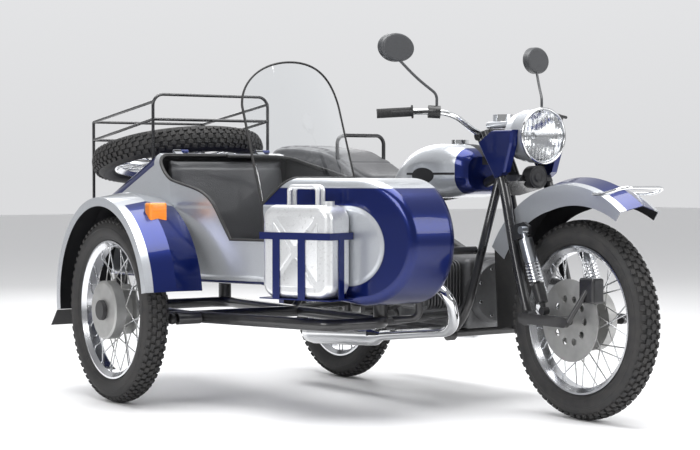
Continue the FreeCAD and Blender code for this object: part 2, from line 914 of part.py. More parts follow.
def shock(top, foot):
    """A shock absorber with its open coil, and an eye at each end."""
    line = foot - top
    body = turned(
        [(0, 0)] + [(a * line.Length, b * shock_radius) for a, b in shock_outline_shares] + [(line.Length, 0)],
        top, line)
    coils = []
    first, last = shock_coil_shares
    for place in range(shock_coil_count):
        share = first + (last - first) * place / (shock_coil_count - 1)
        centre = top + line * share
        half = line / line.Length * shock_coil_wire
        coils.append(rod(centre - half, centre + half, shock_radius))
    eyes = [
        rod(end - along_y * shock_eye_width / 2, end + along_y * shock_eye_width / 2, shock_eye_radius)
        for end in (top, foot)
    ]
    return join([body] + coils + eyes)


def front_shocks():
    """Both front shock absorbers."""
    y = leg_spread + shock_bracket_thickness + seat_gap + shock_eye_width / 2
    foot_z = tyre_radius + link_height / 2 + seat_gap + shock_eye_radius
    one = shock(Vector(shock_top_x, y, shock_top_z), Vector(shock_foot_x, y, foot_z))
    return Part.Compound([one, mirrored(one)])


def fork_covers():
    """The painted covers of the upper fork legs, which hold the headlight at their front."""
    outline = scaled(cover_outline_shares, cover_rear_x, cover_low, cover_length, cover_height)
    inner = headlight_radius * bucket_side_share + seat_gap
    plate = side_plate(outline, inner, inner + cover_width)
    plate = plate.makeFillet(cover_width / 3, [
        edge for edge in plate.Edges
        if edge.BoundBox.YMin > inner + cover_width / 2])
    plate = plate.cut(leg(1, leg_radius + seat_gap))
    low = on_steering(-head_radius, 0, head_low - yoke_gap - yoke_thickness - seat_gap)
    plate = plate.cut(yoke_space(low))
    high = on_steering(-head_radius, 0, head_high + yoke_gap - seat_gap)
    plate = plate.cut(yoke_space(high))
    solids = sorted(plate.Solids, key=lambda solid: solid.Volume)
    keep = solids[-1]
    return Part.Compound([keep, mirrored(keep)])


def yoke_space(corner):
    """The room that a yoke takes, for cutting the covers round it."""
    ahead = (on_steering(1, 0, 0) - on_steering(0, 0, 0)) * (leg_lead + 3 * head_radius)
    across = Vector(0, 2 * leg_spread, 0)
    corners = [corner, corner + ahead, corner + ahead + across, corner + across]
    return flat(corners).extrude(steering_up * (yoke_thickness + 2 * seat_gap))


def headlight():
    """The headlight shell with its rim, the cowl behind it and the speedometer."""
    foot = Vector(headlight_x, 0, headlight_z)
    outline = [(a * headlight_length, b * headlight_radius) for a, b in bucket_outline_shares]
    side = headlight_radius * bucket_side_share
    outline += [(a * headlight_length, side) for a in bucket_straight_shares]
    rim_start = outline[-1][0]
    lens_start = headlight_length - lens_thickness
    lens_radius = headlight_radius - lens_thickness / 2
    outline += [
        (rim_start, headlight_radius), (headlight_length, headlight_radius),
        (headlight_length, lens_radius), (lens_start, lens_radius),
    ]
    outline += [(lens_start - a * reflector_depth, b * lens_radius) for a, b in reflector_outline_shares]
    shell = turned(outline, foot, along_x)
    half = cowl_width / 2
    cowl = rounded_box(
        cowl_rear_x, headlight_x + headlight_length / 3, -half, half, cowl_low, cowl_low + cowl_height, cowl_round)
    clock_foot = Vector(cowl_rear_x + clock_radius, 0, cowl_low + cowl_height / 2)
    clock = rod(clock_foot, clock_foot + upwards * (cowl_height / 2 + clock_height), clock_radius)
    return join([shell, cowl, clock])


def headlight_lens():
    """The domed glass of the headlight."""
    radius = headlight_radius - lens_thickness / 2 - seat_gap
    start = headlight_length - lens_thickness + seat_gap
    rise = lens_bulge
    sphere_radius = (radius ** 2 + rise ** 2) / (2 * rise)
    foot = Vector(headlight_x + start, 0, headlight_z)
    plate = rod(foot, foot + along_x * (lens_thickness + rise), radius)
    centre = foot + along_x * (lens_thickness + rise - sphere_radius)
    return plate.common(Part.makeSphere(sphere_radius, centre))


def bar_route():
    """The handlebar's line from the right end to the left end."""
    right = [
        Vector(bar_end_x, -bar_end_y, bar_end_z), Vector(bar_bend_x, -bar_bend_y, bar_bend_z),
        Vector(bar_rise_x, -bar_rise_y, bar_rise_z), Vector(bar_clamp_x, -bar_clamp_spread, bar_clamp_z),
    ]
    left = [Vector(point.x, -point.y, point.z) for point in reversed(right)]
    return right + left


def handlebar():
    """The bent chrome handlebar."""
    return pipe(bar_route(), bar_radius)


def hand_controls():
    """Grips, switch housings, levers and the brake fluid reservoir."""
    pieces = []
    for side in (-1, 1):
        end = Vector(bar_end_x, side * bar_end_y, bar_end_z)
        bend = Vector(bar_bend_x, side * bar_bend_y, bar_bend_z)
        inward = (bend - end).normalize()
        rise = Vector(bar_rise_x, side * bar_rise_y, bar_rise_z)
        inner = end + inward * grip_length
        grip = join([
            rod(end, inner, grip_radius),
            rod(inner, inner + inward * grip_flange_width, grip_flange_radius),
        ])
        down_bar = (rise - bend).normalize()
        housing_start = bend + down_bar * switch_length / 2
        housing = rod(housing_start, housing_start + down_bar * switch_length, switch_radius)
        ahead = Vector(lever_forward, 0, 0)
        hinge = housing_start + ahead * bend_share * 2
        tip = end + ahead + inward * grip_flange_radius
        lever = pipe([housing_start + down_bar * switch_length / 2, hinge, tip], lever_radius)
        pieces.append(Part.Compound([grip, join([housing, lever])]))
    foot = Vector(bar_rise_x - switch_radius, -bar_rise_y, bar_rise_z)
    reservoir = rod(foot, foot + upwards * (bar_radius + reservoir_height), reservoir_radius)
    solids = [solid for piece in pieces for solid in piece.Solids]
    tool = pipe(bar_route(), bar_radius + seat_gap)
    right = join([solids[1], reservoir])
    cut = [solids[0].cut(tool), right.cut(tool), solids[2].cut(tool), solids[3].cut(tool)]
    return Part.Compound([largest(shape) for shape in cut])


def largest(shape):
    """The biggest solid of a shape that a cut left in pieces."""
    return max(shape.Solids, key=lambda solid: solid.Volume)


def mirror_head(centre, turn):
    """An oval mirror, its back bulging forwards."""
    oval = Part.Ellipse(Vector(0, 0, 0), mirror_width / 2, mirror_height / 2).toShape()
    plate = Part.Face(Part.Wire(oval)).extrude(upwards * mirror_depth)
    plate = plate.makeFillet(mirror_round, plate.Edges[-1:] + plate.Edges[:1])
    plate.translate(Vector(0, 0, -mirror_depth / 2))
    plate.rotate(Vector(0, 0, 0), along_x, quarter_turn)
    plate.rotate(Vector(0, 0, 0), upwards, quarter_turn + turn)
    plate.translate(centre)
    return plate


def mirrors():
    """Both mirrors on their curved stalks."""
    heads = [
        (Vector(right_mirror_x, right_mirror_y, right_mirror_z), right_mirror_turn, -1),
        (Vector(left_mirror_x, left_mirror_y, left_mirror_z), left_mirror_turn, 1),
    ]
    pieces = []
    for centre, turn, side in heads:
        bar_point = Vector(bar_rise_x, side * bar_rise_y, bar_rise_z) + Vector(bar_bend_x, side * bar_bend_y, bar_bend_z)
        foot = bar_point / 2 + upwards * (switch_radius + seat_gap)
        knee = Vector(foot.x, foot.y, mirror_foot_z)
        low = centre - upwards * mirror_height / 3
        stalk = pipe([foot, knee, (knee + low) / 2 - upwards * mirror_round, low], mirror_stalk_radius)
        pieces.append(join([stalk, mirror_head(centre, turn)]))
    return Part.Compound(pieces)


def guard_section(outer, inner, radius, depth, crown, left_depth=None):
    """The thin inverted U of a mudguard, between two side positions."""
    middle = (outer + inner) / 2
    left_depth = depth if left_depth is None else left_depth
    top = [(outer, radius - crown), (middle, radius), (inner, radius - crown)]
    under = [
        (inner - guard_thickness, radius - crown - guard_thickness), (middle, radius - guard_thickness),
        (outer + guard_thickness, radius - crown - guard_thickness),
    ]
    left = [(inner, radius - left_depth), (inner - guard_thickness, radius - left_depth)]
    right = [(outer + guard_thickness, radius - depth), (outer, radius - depth)]
    return top + left + under + right


def front_fender():
    """The high front mudguard with its deep sides, carried between the fork legs."""
    half = leg_spread - leg_radius - seat_gap
    section = guard_section(-half, half, front_guard_radius, front_guard_depth, front_guard_crown)
    shell = arch(section, front_wheel_centre, front_guard_start, front_guard_end)
    low = Vector(front_guard_cut_x, -leg_spread, front_guard_cut_z)
    high = Vector(front_guard_cut_x, leg_spread, front_guard_cut_z)
    lens = rod(low, high, front_guard_cut_radius)
    ahead = box(
        leg_bend_x, wheelbase + front_guard_radius, -leg_spread, leg_spread, 0, front_guard_cut_z + 2 * front_guard_radius)
    return shell.cut(lens.common(ahead))


def fender_bumper():
    """The chrome bow round the nose of the front mudguard."""
    side_y = leg_spread - leg_radius + bow_radius
    right = [
        Vector(bow_foot_x, -side_y, bow_side_z), Vector(bow_side_x, -bow_side_y, bow_side_z),
        Vector(bow_front_x, -side_y, bow_front_z),
    ]
    left = [Vector(point.x, -point.y, point.z) for point in reversed(right)]
    return pipe(right + left, bow_radius)


def front_mud_flap():
    """The rubber flap that hangs from the front mudguard behind the wheel."""
    angle = math.radians(front_guard_end)
    side_share = front_flap_width / 2 / (leg_spread - leg_radius - seat_gap)
    reach = front_guard_radius - front_guard_crown * side_share - guard_thickness - seat_gap
    x = wheelbase + reach * math.cos(angle)
    z = tyre_radius + reach * math.sin(angle)
    half = front_flap_width / 2
    outline = [
        (x, z), (x + flap_thickness, z),
        (x + front_flap_slope + flap_thickness, front_flap_low), (x + front_flap_slope, front_flap_low),
    ]
    return side_plate(outline, -half, half)


def engine_block():
    """The crankcase and gearbox as one closed mass, with the round cover in front."""
    case = rounded_box(
        engine_rear_x, engine_front_x, -engine_half_width, engine_half_width,
        engine_low, engine_high, engine_round)
    gearbox = rounded_box(
        gearbox_rear_x, engine_rear_x + engine_round * 2, -gearbox_half_width, gearbox_half_width,
        engine_low, gearbox_high, engine_round)
    centre = Vector(engine_front_x - engine_round, 0, cylinder_z - engine_round)
    front = turned(
        [(0, 0), (0, cover_disc_radius), (cover_disc_depth, cover_disc_radius),
         (engine_round + cover_disc_depth, cover_disc_radius * bend_share * 2), (engine_round + cover_disc_depth, 0)],
        centre, along_x)
    between = cradle_tube_rear_x + 2 * frame_tube_radius
    sump = rounded_box(
        between, cradle_tube_front_x - 2 * frame_tube_radius, -gearbox_half_width, gearbox_half_width,
        engine_low - sump_drop, engine_low + 2 * engine_round, engine_round / 2)
    return join([case, gearbox, front, sump])


def cylinder():
    """The left finned cylinder with its head and rocker cover."""
    centre = Vector(cylinder_x, engine_half_width + seat_gap, cylinder_z)
    fins_length = fin_pitch * (fin_count - 1) + fin_thickness
    total = fins_length + head_length
    pieces = [rod(centre, centre + along_y * total, barrel_radius)]
    half = fin_width / 2
    for place in range(fin_count):
        low = centre.y + fin_pitch * (place + 1) - fin_thickness
        fin = box(
            cylinder_x - half, cylinder_x + half, low, low + fin_thickness, cylinder_z - half, cylinder_z + half)
        pieces.append(fin.makeFillet(fin_round, [e for e in fin.Edges if e.BoundBox.YLength > fin_thickness / 2]))
    head_start = centre.y + fins_length
    half = head_width / 2
    pieces.append(rounded_box(
        cylinder_x - half, cylinder_x + half, head_start, head_start + head_length,
        cylinder_z - half, cylinder_z + half, caliper_round))
    half = rocker_width / 2
    pieces.append(rounded_box(
        cylinder_x - half, cylinder_x + half, head_start + head_length / 2, head_start + head_length + rocker_length,
        cylinder_z - half, cylinder_z + half, caliper_round))
    return join(pieces)


def cylinders():
    """Both cylinders of the flat twin."""
    left = cylinder()
    return Part.Compound([left, mirrored(left)])


def carburettors():
    """Both carburettors with their bowls, the intake pipes and the air cleaner behind the engine."""
    pieces = []
    inlet_x = cylinder_x - fin_width / 2 - seat_gap
    for side in (-1, 1):
        rear = Vector(carburettor_x - carburettor_length / 2, side * carburettor_y, carburettor_z)
        front = Vector(inlet_x, side * carburettor_y, carburettor_z)
        bowl_top = Vector(carburettor_x, side * carburettor_y, carburettor_z)
        pieces.append(rod(rear, front, carburettor_radius))
        pieces.append(rod(bowl_top, bowl_top - upwards * bowl_drop, bowl_radius))
        hose = [rear + along_x * seat_gap, rear - along_x * carburettor_length / 2,
                Vector(air_box_x, side * air_box_radius / 2, engine_high + air_box_height * intake_hose_share)]
        pieces.append(pipe(hose, intake_hose_radius))
    foot = Vector(air_box_x, 0, engine_high + seat_gap)
    pieces.append(rod(foot, foot + upwards * air_box_height, air_box_radius))
    return join(pieces)


def exhaust(side):
    """A header pipe from the head, and its silencer along the frame."""
    head_y = side * header_y
    port = Vector(cylinder_x + head_width / 2 + seat_gap, head_y, cylinder_z)
    silencer_front = Vector(silencer_front_x, side * silencer_y, silencer_front_z)
    silencer_rear = Vector(silencer_rear_x, side * silencer_y, silencer_rear_z)
    route = [
        port, Vector(header_front_x, head_y, cylinder_z),
        Vector(header_low_x, side * header_low_y, header_low_z), silencer_front,
    ]
    line = silencer_rear - silencer_front
    outline = [(0, 0)] + [(a * line.Length, b * silencer_radius) for a, b in silencer_outline_shares]
    body = turned(outline + [(line.Length, 0)], silencer_front, line)
    hollow = rod(silencer_rear - line / line.Length * silencer_radius, silencer_rear + line, silencer_radius / 2)
    lug_y = side * (cradle_spread + frame_tube_radius + seat_gap)
    lug = [
        rod(Vector(x, lug_y, cradle_z), Vector(x, side * silencer_y, cradle_z), lever_radius)
        for x in (cradle_tube_rear_x, rear_strut_x + clamp_radius + 2 * lever_radius)
    ]
    return join([body.cut(hollow), pipe(route, header_radius)] + lug)


def exhausts():
    """The exhaust of each cylinder."""
    return Part.Compound([exhaust(-1), exhaust(1)])


def fuel_tank():
    """The closed fuel tank, seated over the backbone, with its filler cap."""
    length = tank_front_x - tank_rear_x
    wires = []
    for along, across, low, high in tank_station_shares:
        bottom = tank_low + low * tank_height
        top = tank_low + high * tank_height
        wires.append(rounded_section(
            tank_rear_x + along * length, 0, across * tank_half_width, bottom, top,
            tank_round_share * (top - bottom)))
    shell = Part.makeLoft(wires, True, False)
    foot = Vector(tank_cap_x, 0, tank_low + tank_height - 2 * tank_cap_height)
    cap = rod(foot, foot + upwards * 3 * tank_cap_height, tank_cap_radius)
    return join([shell, cap]).cut(pipe(backbone_route(), backbone_radius + seat_gap))


def bench_seat():
    """The stepped two-person seat on the frame rails."""
    length = bench_front_x - bench_rear_x
    wires = []
    for along, across, high in bench_station_shares:
        top = bench_low + high * bench_height
        wires.append(rounded_section(
            bench_rear_x + along * length, 0, across * bench_half_width, bench_low, top,
            bench_round_share * bench_half_width))
    shell = Part.makeLoft(wires, True, False).cut(pipe(grab_route(), grab_radius + seat_gap, grab_spread / 3))
    rails = box(bench_rear_x, bench_front_x, -bench_half_width, bench_half_width, pivot_z, bench_low)
    return shell.cut(rails)


def grab_route():
    """The grab loop's line, from the right seat rail over the seat to the left one."""
    foot_z = seat_rail_z + seat_rail_radius + seat_gap
    right = [Vector(grab_x, -grab_spread, foot_z), Vector(grab_x, -grab_spread, grab_top_z)]
    left = [Vector(point.x, -point.y, point.z) for point in reversed(right)]
    return right + left


def seat_grab_handle():
    """The passenger's grab loop across the seat."""
    return pipe(grab_route(), grab_radius, grab_spread / 3)


def rear_drive():
    """The rear swing arm with its axle, drive shaft and final drive on the right."""
    half = arm_height / 2
    pieces = []
    for side in (-1, 1):
        low_y, high_y = sorted((side * (arm_spread - arm_radius), side * (arm_spread + arm_radius)))
        pieces.append(side_plate([
            (-half, tyre_radius - half), (-half, tyre_radius + half),
            (pivot_plate_x, pivot_z + half), (pivot_plate_x, pivot_z - half)], low_y, high_y))
        start = Vector(0, side * (hub_width / 2 + seat_gap), tyre_radius)
        pieces.append(rod(start, Vector(0, side * arm_spread, tyre_radius), spacer_radius))
    reach = along_y * (arm_spread + arm_radius)
    pivot = Vector(pivot_plate_x, 0, pivot_z)
    pieces.append(rod(pivot - reach, pivot + reach, arm_height / 2))
    pieces.append(rod(rear_wheel_centre - reach, rear_wheel_centre + reach, axle_radius))
    for side in (-1, 1):
        low_y, high_y = sorted((side * (arm_spread - arm_radius), side * (arm_spread + arm_radius)))
        end = Vector(rear_shock_foot_x, low_y, tyre_radius)
        pieces.append(rod(end, Vector(rear_shock_foot_x, high_y, tyre_radius), half))
    face = hub_width / 2 + seat_gap
    drive_foot = Vector(0, -face, tyre_radius)
    pieces.append(turned(
        [(0, axle_radius / 2), (0, drive_radius), (drive_width, drive_radius),
         (drive_width + axle_radius, drive_radius * bend_share), (drive_width + axle_radius, axle_radius / 2)],
        drive_foot, -along_y))
    shaft_y = -face - shaft_radius
    pieces.append(rod(
        Vector(axle_radius, shaft_y, tyre_radius), Vector(pivot_plate_x, shaft_y, pivot_z), shaft_radius))
    return join(pieces)


def rear_shocks():
    """Both rear shock absorbers, from the swing arm to the seat rails."""
    top_y = seat_rail_spread + seat_rail_radius + seat_gap + shock_eye_width / 2
    foot_y = arm_spread + arm_radius + seat_gap + shock_eye_width / 2
    one = shock(Vector(rear_shock_x, top_y, seat_rail_z), Vector(rear_shock_foot_x, foot_y, tyre_radius))
    return Part.Compound([one, mirrored(one)])


def rear_fender():
    """The rear mudguard of the motorcycle."""
    half = seat_rail_spread - seat_rail_radius - seat_gap
    section = guard_section(-half, half, rear_guard_radius, rear_guard_depth, rear_guard_crown)
    return arch(section, rear_wheel_centre, rear_guard_start, rear_guard_end)


def tail_lamp():
    """The tail lamp on the rear mudguard, over the blank number plate."""
    half = tail_lamp_width / 2
    lamp = rounded_box(
        tail_lamp_x - tail_lamp_depth, tail_lamp_x + tail_lamp_depth / 2, -half, half,
        tail_lamp_z - tail_lamp_height / 2, tail_lamp_z + tail_lamp_height / 2, tail_lamp_round)
    plate_top = tail_lamp_z - tail_lamp_height / 2 + plate_drop / 2
    plate_x = tail_lamp_x - tail_lamp_depth - plate_thickness
    plate = box(
        plate_x, plate_x + plate_thickness, -plate_width / 2, plate_width / 2,
        plate_top - plate_height, plate_top)
    arm = box(
        plate_x, tail_lamp_x - tail_lamp_depth / 2, -plate_drop / 2, plate_drop / 2,
        plate_top - plate_drop, plate_top + plate_thickness)
    whole = join([lamp, plate, arm])
    for side in (-1, 1):
        foot = Vector(plate_x - overrun, side * plate_hole_spacing / 2, plate_top - plate_height / 2)
        whole = whole.cut(rod(foot, foot + along_x * 2 * overrun, plate_hole_radius))
    half_guard = seat_rail_spread
    inside = rod(
        rear_wheel_centre - along_y * half_guard, rear_wheel_centre + along_y * half_guard,
        rear_guard_radius + seat_gap)
    return whole.cut(inside)


def side_boxes():
    """The battery box and the tool box under the seat."""
    box_top = seat_rail_z - seat_rail_radius - seat_gap
    one = rounded_box(
        side_box_rear_x, side_box_front_x, side_box_inner, side_box_outer, side_box_low, box_top, side_box_round)
    return Part.Compound([one, mirrored(one)])


def foot_controls():
    """The rider's foot rests with the brake pedal and the gear pedal, on the cradle tubes."""
    pieces = []
    for side in (-1, 1):
        start = Vector(peg_x, side * cradle_spread, cradle_z + frame_tube_radius + seat_gap)
        knee = Vector(peg_x, side * cradle_spread, pivot_z)
        end = Vector(peg_x, side * (cradle_spread + peg_length * 3 / 2), pivot_z)
        peg = join([pipe([start, knee, end], pedal_radius), rod(knee + (end - knee) / 3, end, peg_radius)])
        toe = knee + along_x * pedal_reach + upwards * pedal_rise
        pad_end = toe + along_y * side * peg_length / 2
        pedal = pipe([knee + (end - knee) * pedal_start_share, toe - along_x * pedal_pad_radius, pad_end], pedal_radius)
        pad = rod(pad_end - along_y * side * peg_length / 3, pad_end, pedal_pad_radius)
        pieces.append(join([peg, pedal, pad]))
    return Part.Compound(pieces)


def side_outline(inset):
    """The sidecar body seen from the side, as a prism, smaller all round by the inset."""
    centre_z = deck_z - nose_radius
    low = Vector(nose_x, 0, centre_z - nose_radius)
    high = Vector(nose_x, 0, deck_z)
    corners = [
        high, Vector(deck_rear_x, 0, deck_z), Vector(hinge_x, 0, hinge_z),
        Vector(body_rear_x, 0, body_rear_z), Vector(body_rear_x, 0, body_rear_low),
        Vector(body_tail_x, 0, body_low), Vector(body_bend_x, 0, body_low), low,
    ]
    edges = [Part.LineSegment(a, b).toShape() for a, b in zip(corners, corners[1:])]
    edges.append(Part.Arc(low, Vector(nose_x + nose_radius, 0, centre_z), high).toShape())
    return inset_prism(Part.Wire(edges), inset, Vector(0, -body_right - overrun, 0))


def plan_outline(inset):
    """The sidecar body seen from above, as a prism, smaller all round by the inset."""
    front = nose_x + nose_radius + overrun
    points = [
        (body_rear_x, -body_left - tail_corner / 2), (body_rear_x + tail_corner, -body_left),
        (front, -body_left), (front, -side_y(front)), (taper_start_x, -body_right),
        (body_rear_x + 2 * tail_corner, -body_right), (body_rear_x, -body_right + tail_corner),
    ]
    wire = Part.makePolygon([Vector(x, y, 0) for x, y in points + points[:1]])
    return inset_prism(wire, inset, Vector(0, 0, hinge_z + overrun))


def inset_prism(wire, inset, height):
    """A closed outline, offset inwards and extruded."""
    if inset:
        wire = wire.makeOffset2D(-inset, 2)
    return Part.Face(wire).extrude(height)


def side_y(x):
    """How far to the right the sidecar's side lies, at a place along it."""
    return body_right - max(x - taper_start_x, 0) * math.tan(taper)


def body_solid(inset):
    """The closed shape of the sidecar body with its rounded edges, smaller by the inset."""
    block = side_outline(inset).common(plan_outline(inset))
    return eased(block, body_round - inset, is_lengthwise)


def is_lengthwise(edge):
    """Whether an edge of the body runs along a side, so not upright and not across."""
    ends = [vertex.Point for vertex in edge.Vertexes]
    upright = abs(ends[0].x - ends[-1].x) < seat_gap and abs(ends[0].y - ends[-1].y) < seat_gap
    straight = edge.Length < (ends[0] - ends[-1]).Length + seat_gap
    across = abs(ends[0].x - ends[-1].x) < seat_gap and abs(ends[0].z - ends[-1].z) < seat_gap
    return not ((upright and straight) or across)


def deck_line(x):
    """Height of the body's top edge line at a place along it."""
    if x < hinge_x:
        return hinge_z - (hinge_x - x) * deck_fall
    return max(deck_z, hinge_z - (x - hinge_x) * front_fall)


def lid_space(gap):
    """The part of the body's space that the boot lid takes, with room round it."""
    front = hinge_x - hinge_split + gap
    rear = body_rear_x - overrun
    outline = [
        (front, deck_line(front) - lid_depth - gap), (rear, deck_line(rear) - lid_depth - gap),
        (rear, hinge_z + overrun), (front, hinge_z + overrun),
    ]
    return side_plate(outline, -body_right - overrun, -body_left + overrun)


def entry_front_line():
    """The entry's front edge: from the sill over the windscreen's right foot up to the deck."""
    return [(entry_sill_front_x, entry_low), (screen_foot_x, screen_foot_z), (entry_front_x, deck_z)]


def entry_space():
    """The step-in cut through the right side of the body."""
    length = entry_rear_x - hinge_x
    height = hinge_z - entry_low
    curve = [
        Vector(hinge_x + along * length, 0, entry_low + up * height + body_wall) for along, up in entry_curve_shares
    ]
    curve.append(Vector(entry_rear_x, 0, entry_low))
    rise = Part.BSplineCurve()
    rise.interpolate(curve)
    corners = [curve[-1]] + [Vector(x, 0, z) for x, z in entry_front_line()] + [
        Vector(entry_front_x + overrun, 0, hinge_z + overrun), Vector(hinge_x + overrun, 0, hinge_z + overrun),
        curve[0],
    ]
    edges = [rise.toShape()] + [Part.LineSegment(a, b).toShape() for a, b in zip(corners, corners[1:])]
    face = Part.Face(Part.Wire(edges))
    face.translate(Vector(0, -body_right - overrun, 0))
    return face.extrude(Vector(0, (body_right - body_left) / 2 + overrun, 0))


def cockpit_space():
    """The opening in the top of the body over the seat."""
    left = -body_left - cockpit_margin
    right = -body_right + cockpit_margin
    front_right = -side_y(cockpit_front_right_x) + cockpit_margin
    points = [
        Vector(cockpit_rear_x, left, entry_low), Vector(cockpit_front_left_x, left, entry_low),
        Vector(cockpit_front_right_x, front_right, entry_low), Vector(taper_start_x, right, entry_low),
        Vector(cockpit_rear_x, right, entry_low),
    ]
    return Part.Face(rounded_loop(points, cockpit_round)).extrude(upwards * (hinge_z - entry_low + overrun))


def hinge_places():
    """The Y places where the lid's hinges lie."""
    return (-body_left - hinge_inset, -body_right + hinge_inset)


def hinge_leaf_plate(side_x, low_y, high_y):
    """A hinge leaf's plate from the pin line onto the panel beside it."""
    far = hinge_x + side_x * hinge_leaf
    panel = deck_line(far)
    outline = [
        (hinge_x, hinge_z + hinge_radius / 2), (hinge_x, hinge_z + hinge_radius * 3 / 2),
        (far, panel + body_wall / 2), (far, panel - body_wall / 2),
    ]
    return side_plate(outline, low_y, high_y)


def sidecar_body(outer, inner):
    """The hollow body: shell, entry, cockpit, bulkhead and the fixed halves of the lid hinges."""
    shell = outer.cut(inner)
    front = hinge_x + hinge_split
    wall = inner.common(box(
        front, front + body_wall, -body_right, -body_left, body_low, hinge_z))
    shell = join([shell, wall]).cut(lid_space(lid_gap))
    shell = largest(shell.cut(cockpit_space()).cut(entry_space()))
    axis_z = hinge_axis_z
    for y in hinge_places():
        low_y = y - hinge_width / 2
        foot = Vector(hinge_x, low_y, axis_z)
        knuckle = rod(foot, foot + along_y * hinge_width / 2, hinge_radius)
        shell = join([shell, hinge_leaf_plate(1, low_y, low_y + hinge_width / 2), knuckle])
        shell = shell.cut(rod(foot - along_y * seat_gap, foot + along_y * hinge_width, hinge_pin_radius + running_gap))
    return shell


def trunk_lid(outer, inner):
    """The boot lid with its hinge pins and the pedestal of the spare wheel."""
    shell = largest(outer.cut(inner).common(lid_space(0)))
    axis_z = hinge_axis_z
    pieces = [shell]
    for y in hinge_places():
        low_y = y + seat_gap
        foot = Vector(hinge_x, low_y, axis_z)
        pieces.append(hinge_leaf_plate(-1, low_y, low_y + hinge_width / 2))
        pieces.append(rod(foot, foot + along_y * hinge_width / 2, hinge_radius))
        pieces.append(rod(foot - along_y * (hinge_width / 2), foot, hinge_pin_radius))
    top = spare_centre - spare_axis * (hub_width / 2 + seat_gap)
    depth = (top.z - deck_line(top.x)) + pedestal_radius * deck_fall
    foot = top - spare_axis * depth
    flare = pedestal_radius * pedestal_flare_share
    pedestal = turned([(0, 0), (0, flare), (depth, pedestal_radius), (depth, 0)], foot, spare_axis)
    below = lid_space(0).common(outer).cut(shell)
    pieces.append(pedestal.cut(below))
    nut = spare_centre + spare_axis * (hub_width / 2 + seat_gap)
    pieces.append(rod(top - spare_axis, nut + spare_axis, axle_radius))
    pieces.append(rod(nut, nut + spare_axis * clamp_nut_height, clamp_nut_radius))
    return join(pieces)


def sidecar_seat(floor_inset):
    """The sidecar's seat cushion and its backrest."""
    rear = hinge_x + hinge_split + body_wall + seat_gap
    right = -body_right + floor_inset + seat_margin
    left = -body_left - floor_inset - seat_margin
    low = body_low + floor_inset + seat_gap
    front_right = -side_y(seat_front_x) + floor_inset + seat_margin
    back_top_x = rear + seat_back_thick * seat_back_share
    cushion_top = low + seat_cushion_height
    points = [
        Vector(rear, right, low), Vector(taper_start_x, right, low), Vector(seat_front_x, front_right, low),
        Vector(seat_front_x, left, low), Vector(rear, left, low),
    ]
    cushion = flat(points).extrude(upwards * seat_cushion_height)
    cushion = eased(cushion, seat_round, lambda edge: edge.BoundBox.ZMin > low + seat_round)
    back = side_plate([
        (rear, cushion_top + seat_gap), (rear, seat_back_top), (back_top_x, seat_back_top),
        (rear + seat_back_thick, cushion_top + seat_gap)], right, left)
    back = eased(back, seat_round / 2, lambda edge: edge.BoundBox.XMin > rear + seat_gap)
    return Part.Compound([cushion, back])


def screen_frame():
    """The windscreen's base line: its middle point, its turn and its length."""
    left = Vector(screen_left_x, screen_left_y, 0)
    right = Vector(screen_right_x, -side_y(screen_foot_x) + body_wall, 0)
    chord = right - left
    return (left + right) / 2, math.atan2(chord.x, -chord.y), chord.Length


def windshield(body_tool):
    """The curved clear windscreen, cut to sit on the deck and on the entry's front edge."""
    middle, turn, width = screen_frame()
    half = width / 2
    bow = screen_radius - math.sqrt(screen_radius ** 2 - half ** 2)
    length = screen_height + screen_base_drop + overrun
    axis_foot = Vector(bow - screen_radius, 0, -screen_base_drop - overrun)
    outer = rod(axis_foot, axis_foot + upwards * (length + overrun), screen_radius)
    inner = rod(axis_foot, axis_foot + upwards * (length + overrun), screen_radius - screen_thickness)
    side = screen_side_share * screen_height
    corner = screen_corner_share * screen_height
    corner_y = half * screen_side_share
    curve = Part.BSplineCurve()
    curve.interpolate([
        Vector(0, -half, side), Vector(0, -corner_y, corner), Vector(0, 0, screen_height),
        Vector(0, corner_y, corner), Vector(0, half, side)])
    base = -screen_base_drop
    corners = [Vector(0, half, side), Vector(0, half, base), Vector(0, -half, base), Vector(0, -half, side)]
    edges = [curve.toShape()] + [Part.LineSegment(a, b).toShape() for a, b in zip(corners, corners[1:])]
    face = Part.Face(Part.Wire(edges))
    face.translate(Vector(-screen_radius, 0, 0))
    sheet = outer.cut(inner).common(face.extrude(Vector(2 * screen_radius, 0, 0)))
    sheet.rotate(Vector(0, 0, 0), along_y, -screen_lean)
    sheet.rotate(Vector(0, 0, 0), upwards, math.degrees(turn))
    sheet.translate(middle + upwards * deck_z)
    under = [(x, z + screen_gap) for x, z in entry_front_line()] + [
        (entry_front_x, body_low), (hinge_x, body_low), (hinge_x, screen_foot_z)]
    sheet = sheet.cut(side_plate(under, -body_right - overrun, -body_left + overrun))
    return top_piece(sheet.cut(body_tool.cut(cockpit_space()).cut(entry_space())))


def top_piece(shape):
    """The highest solid of a shape that a cut left in pieces."""
    return max(shape.Solids, key=lambda solid: solid.CenterOfMass.z)


def sidecar_fender():
    """The sidecar mudguard: a crown from the body outwards, with a deep outer lip."""
    centre = Vector(sidecar_lead, 0, side_guard_centre_z)
    inner = -body_right - seat_gap
    section = guard_section(
        -side_guard_outer, inner, side_guard_radius, side_guard_lip, side_guard_crown,
        side_guard_crown + 2 * guard_thickness)
    return arch(section, centre, side_guard_start, side_guard_end)


def guard_top(x, y):
    """Height of the sidecar mudguard's top at a place on it."""
    across = (side_guard_outer + body_right) / 2
    half = (side_guard_outer - body_right) / 2
    radius = side_guard_radius - side_guard_crown * abs(y - across) / half
    return side_guard_centre_z + math.sqrt(radius ** 2 - (x - sidecar_lead) ** 2)


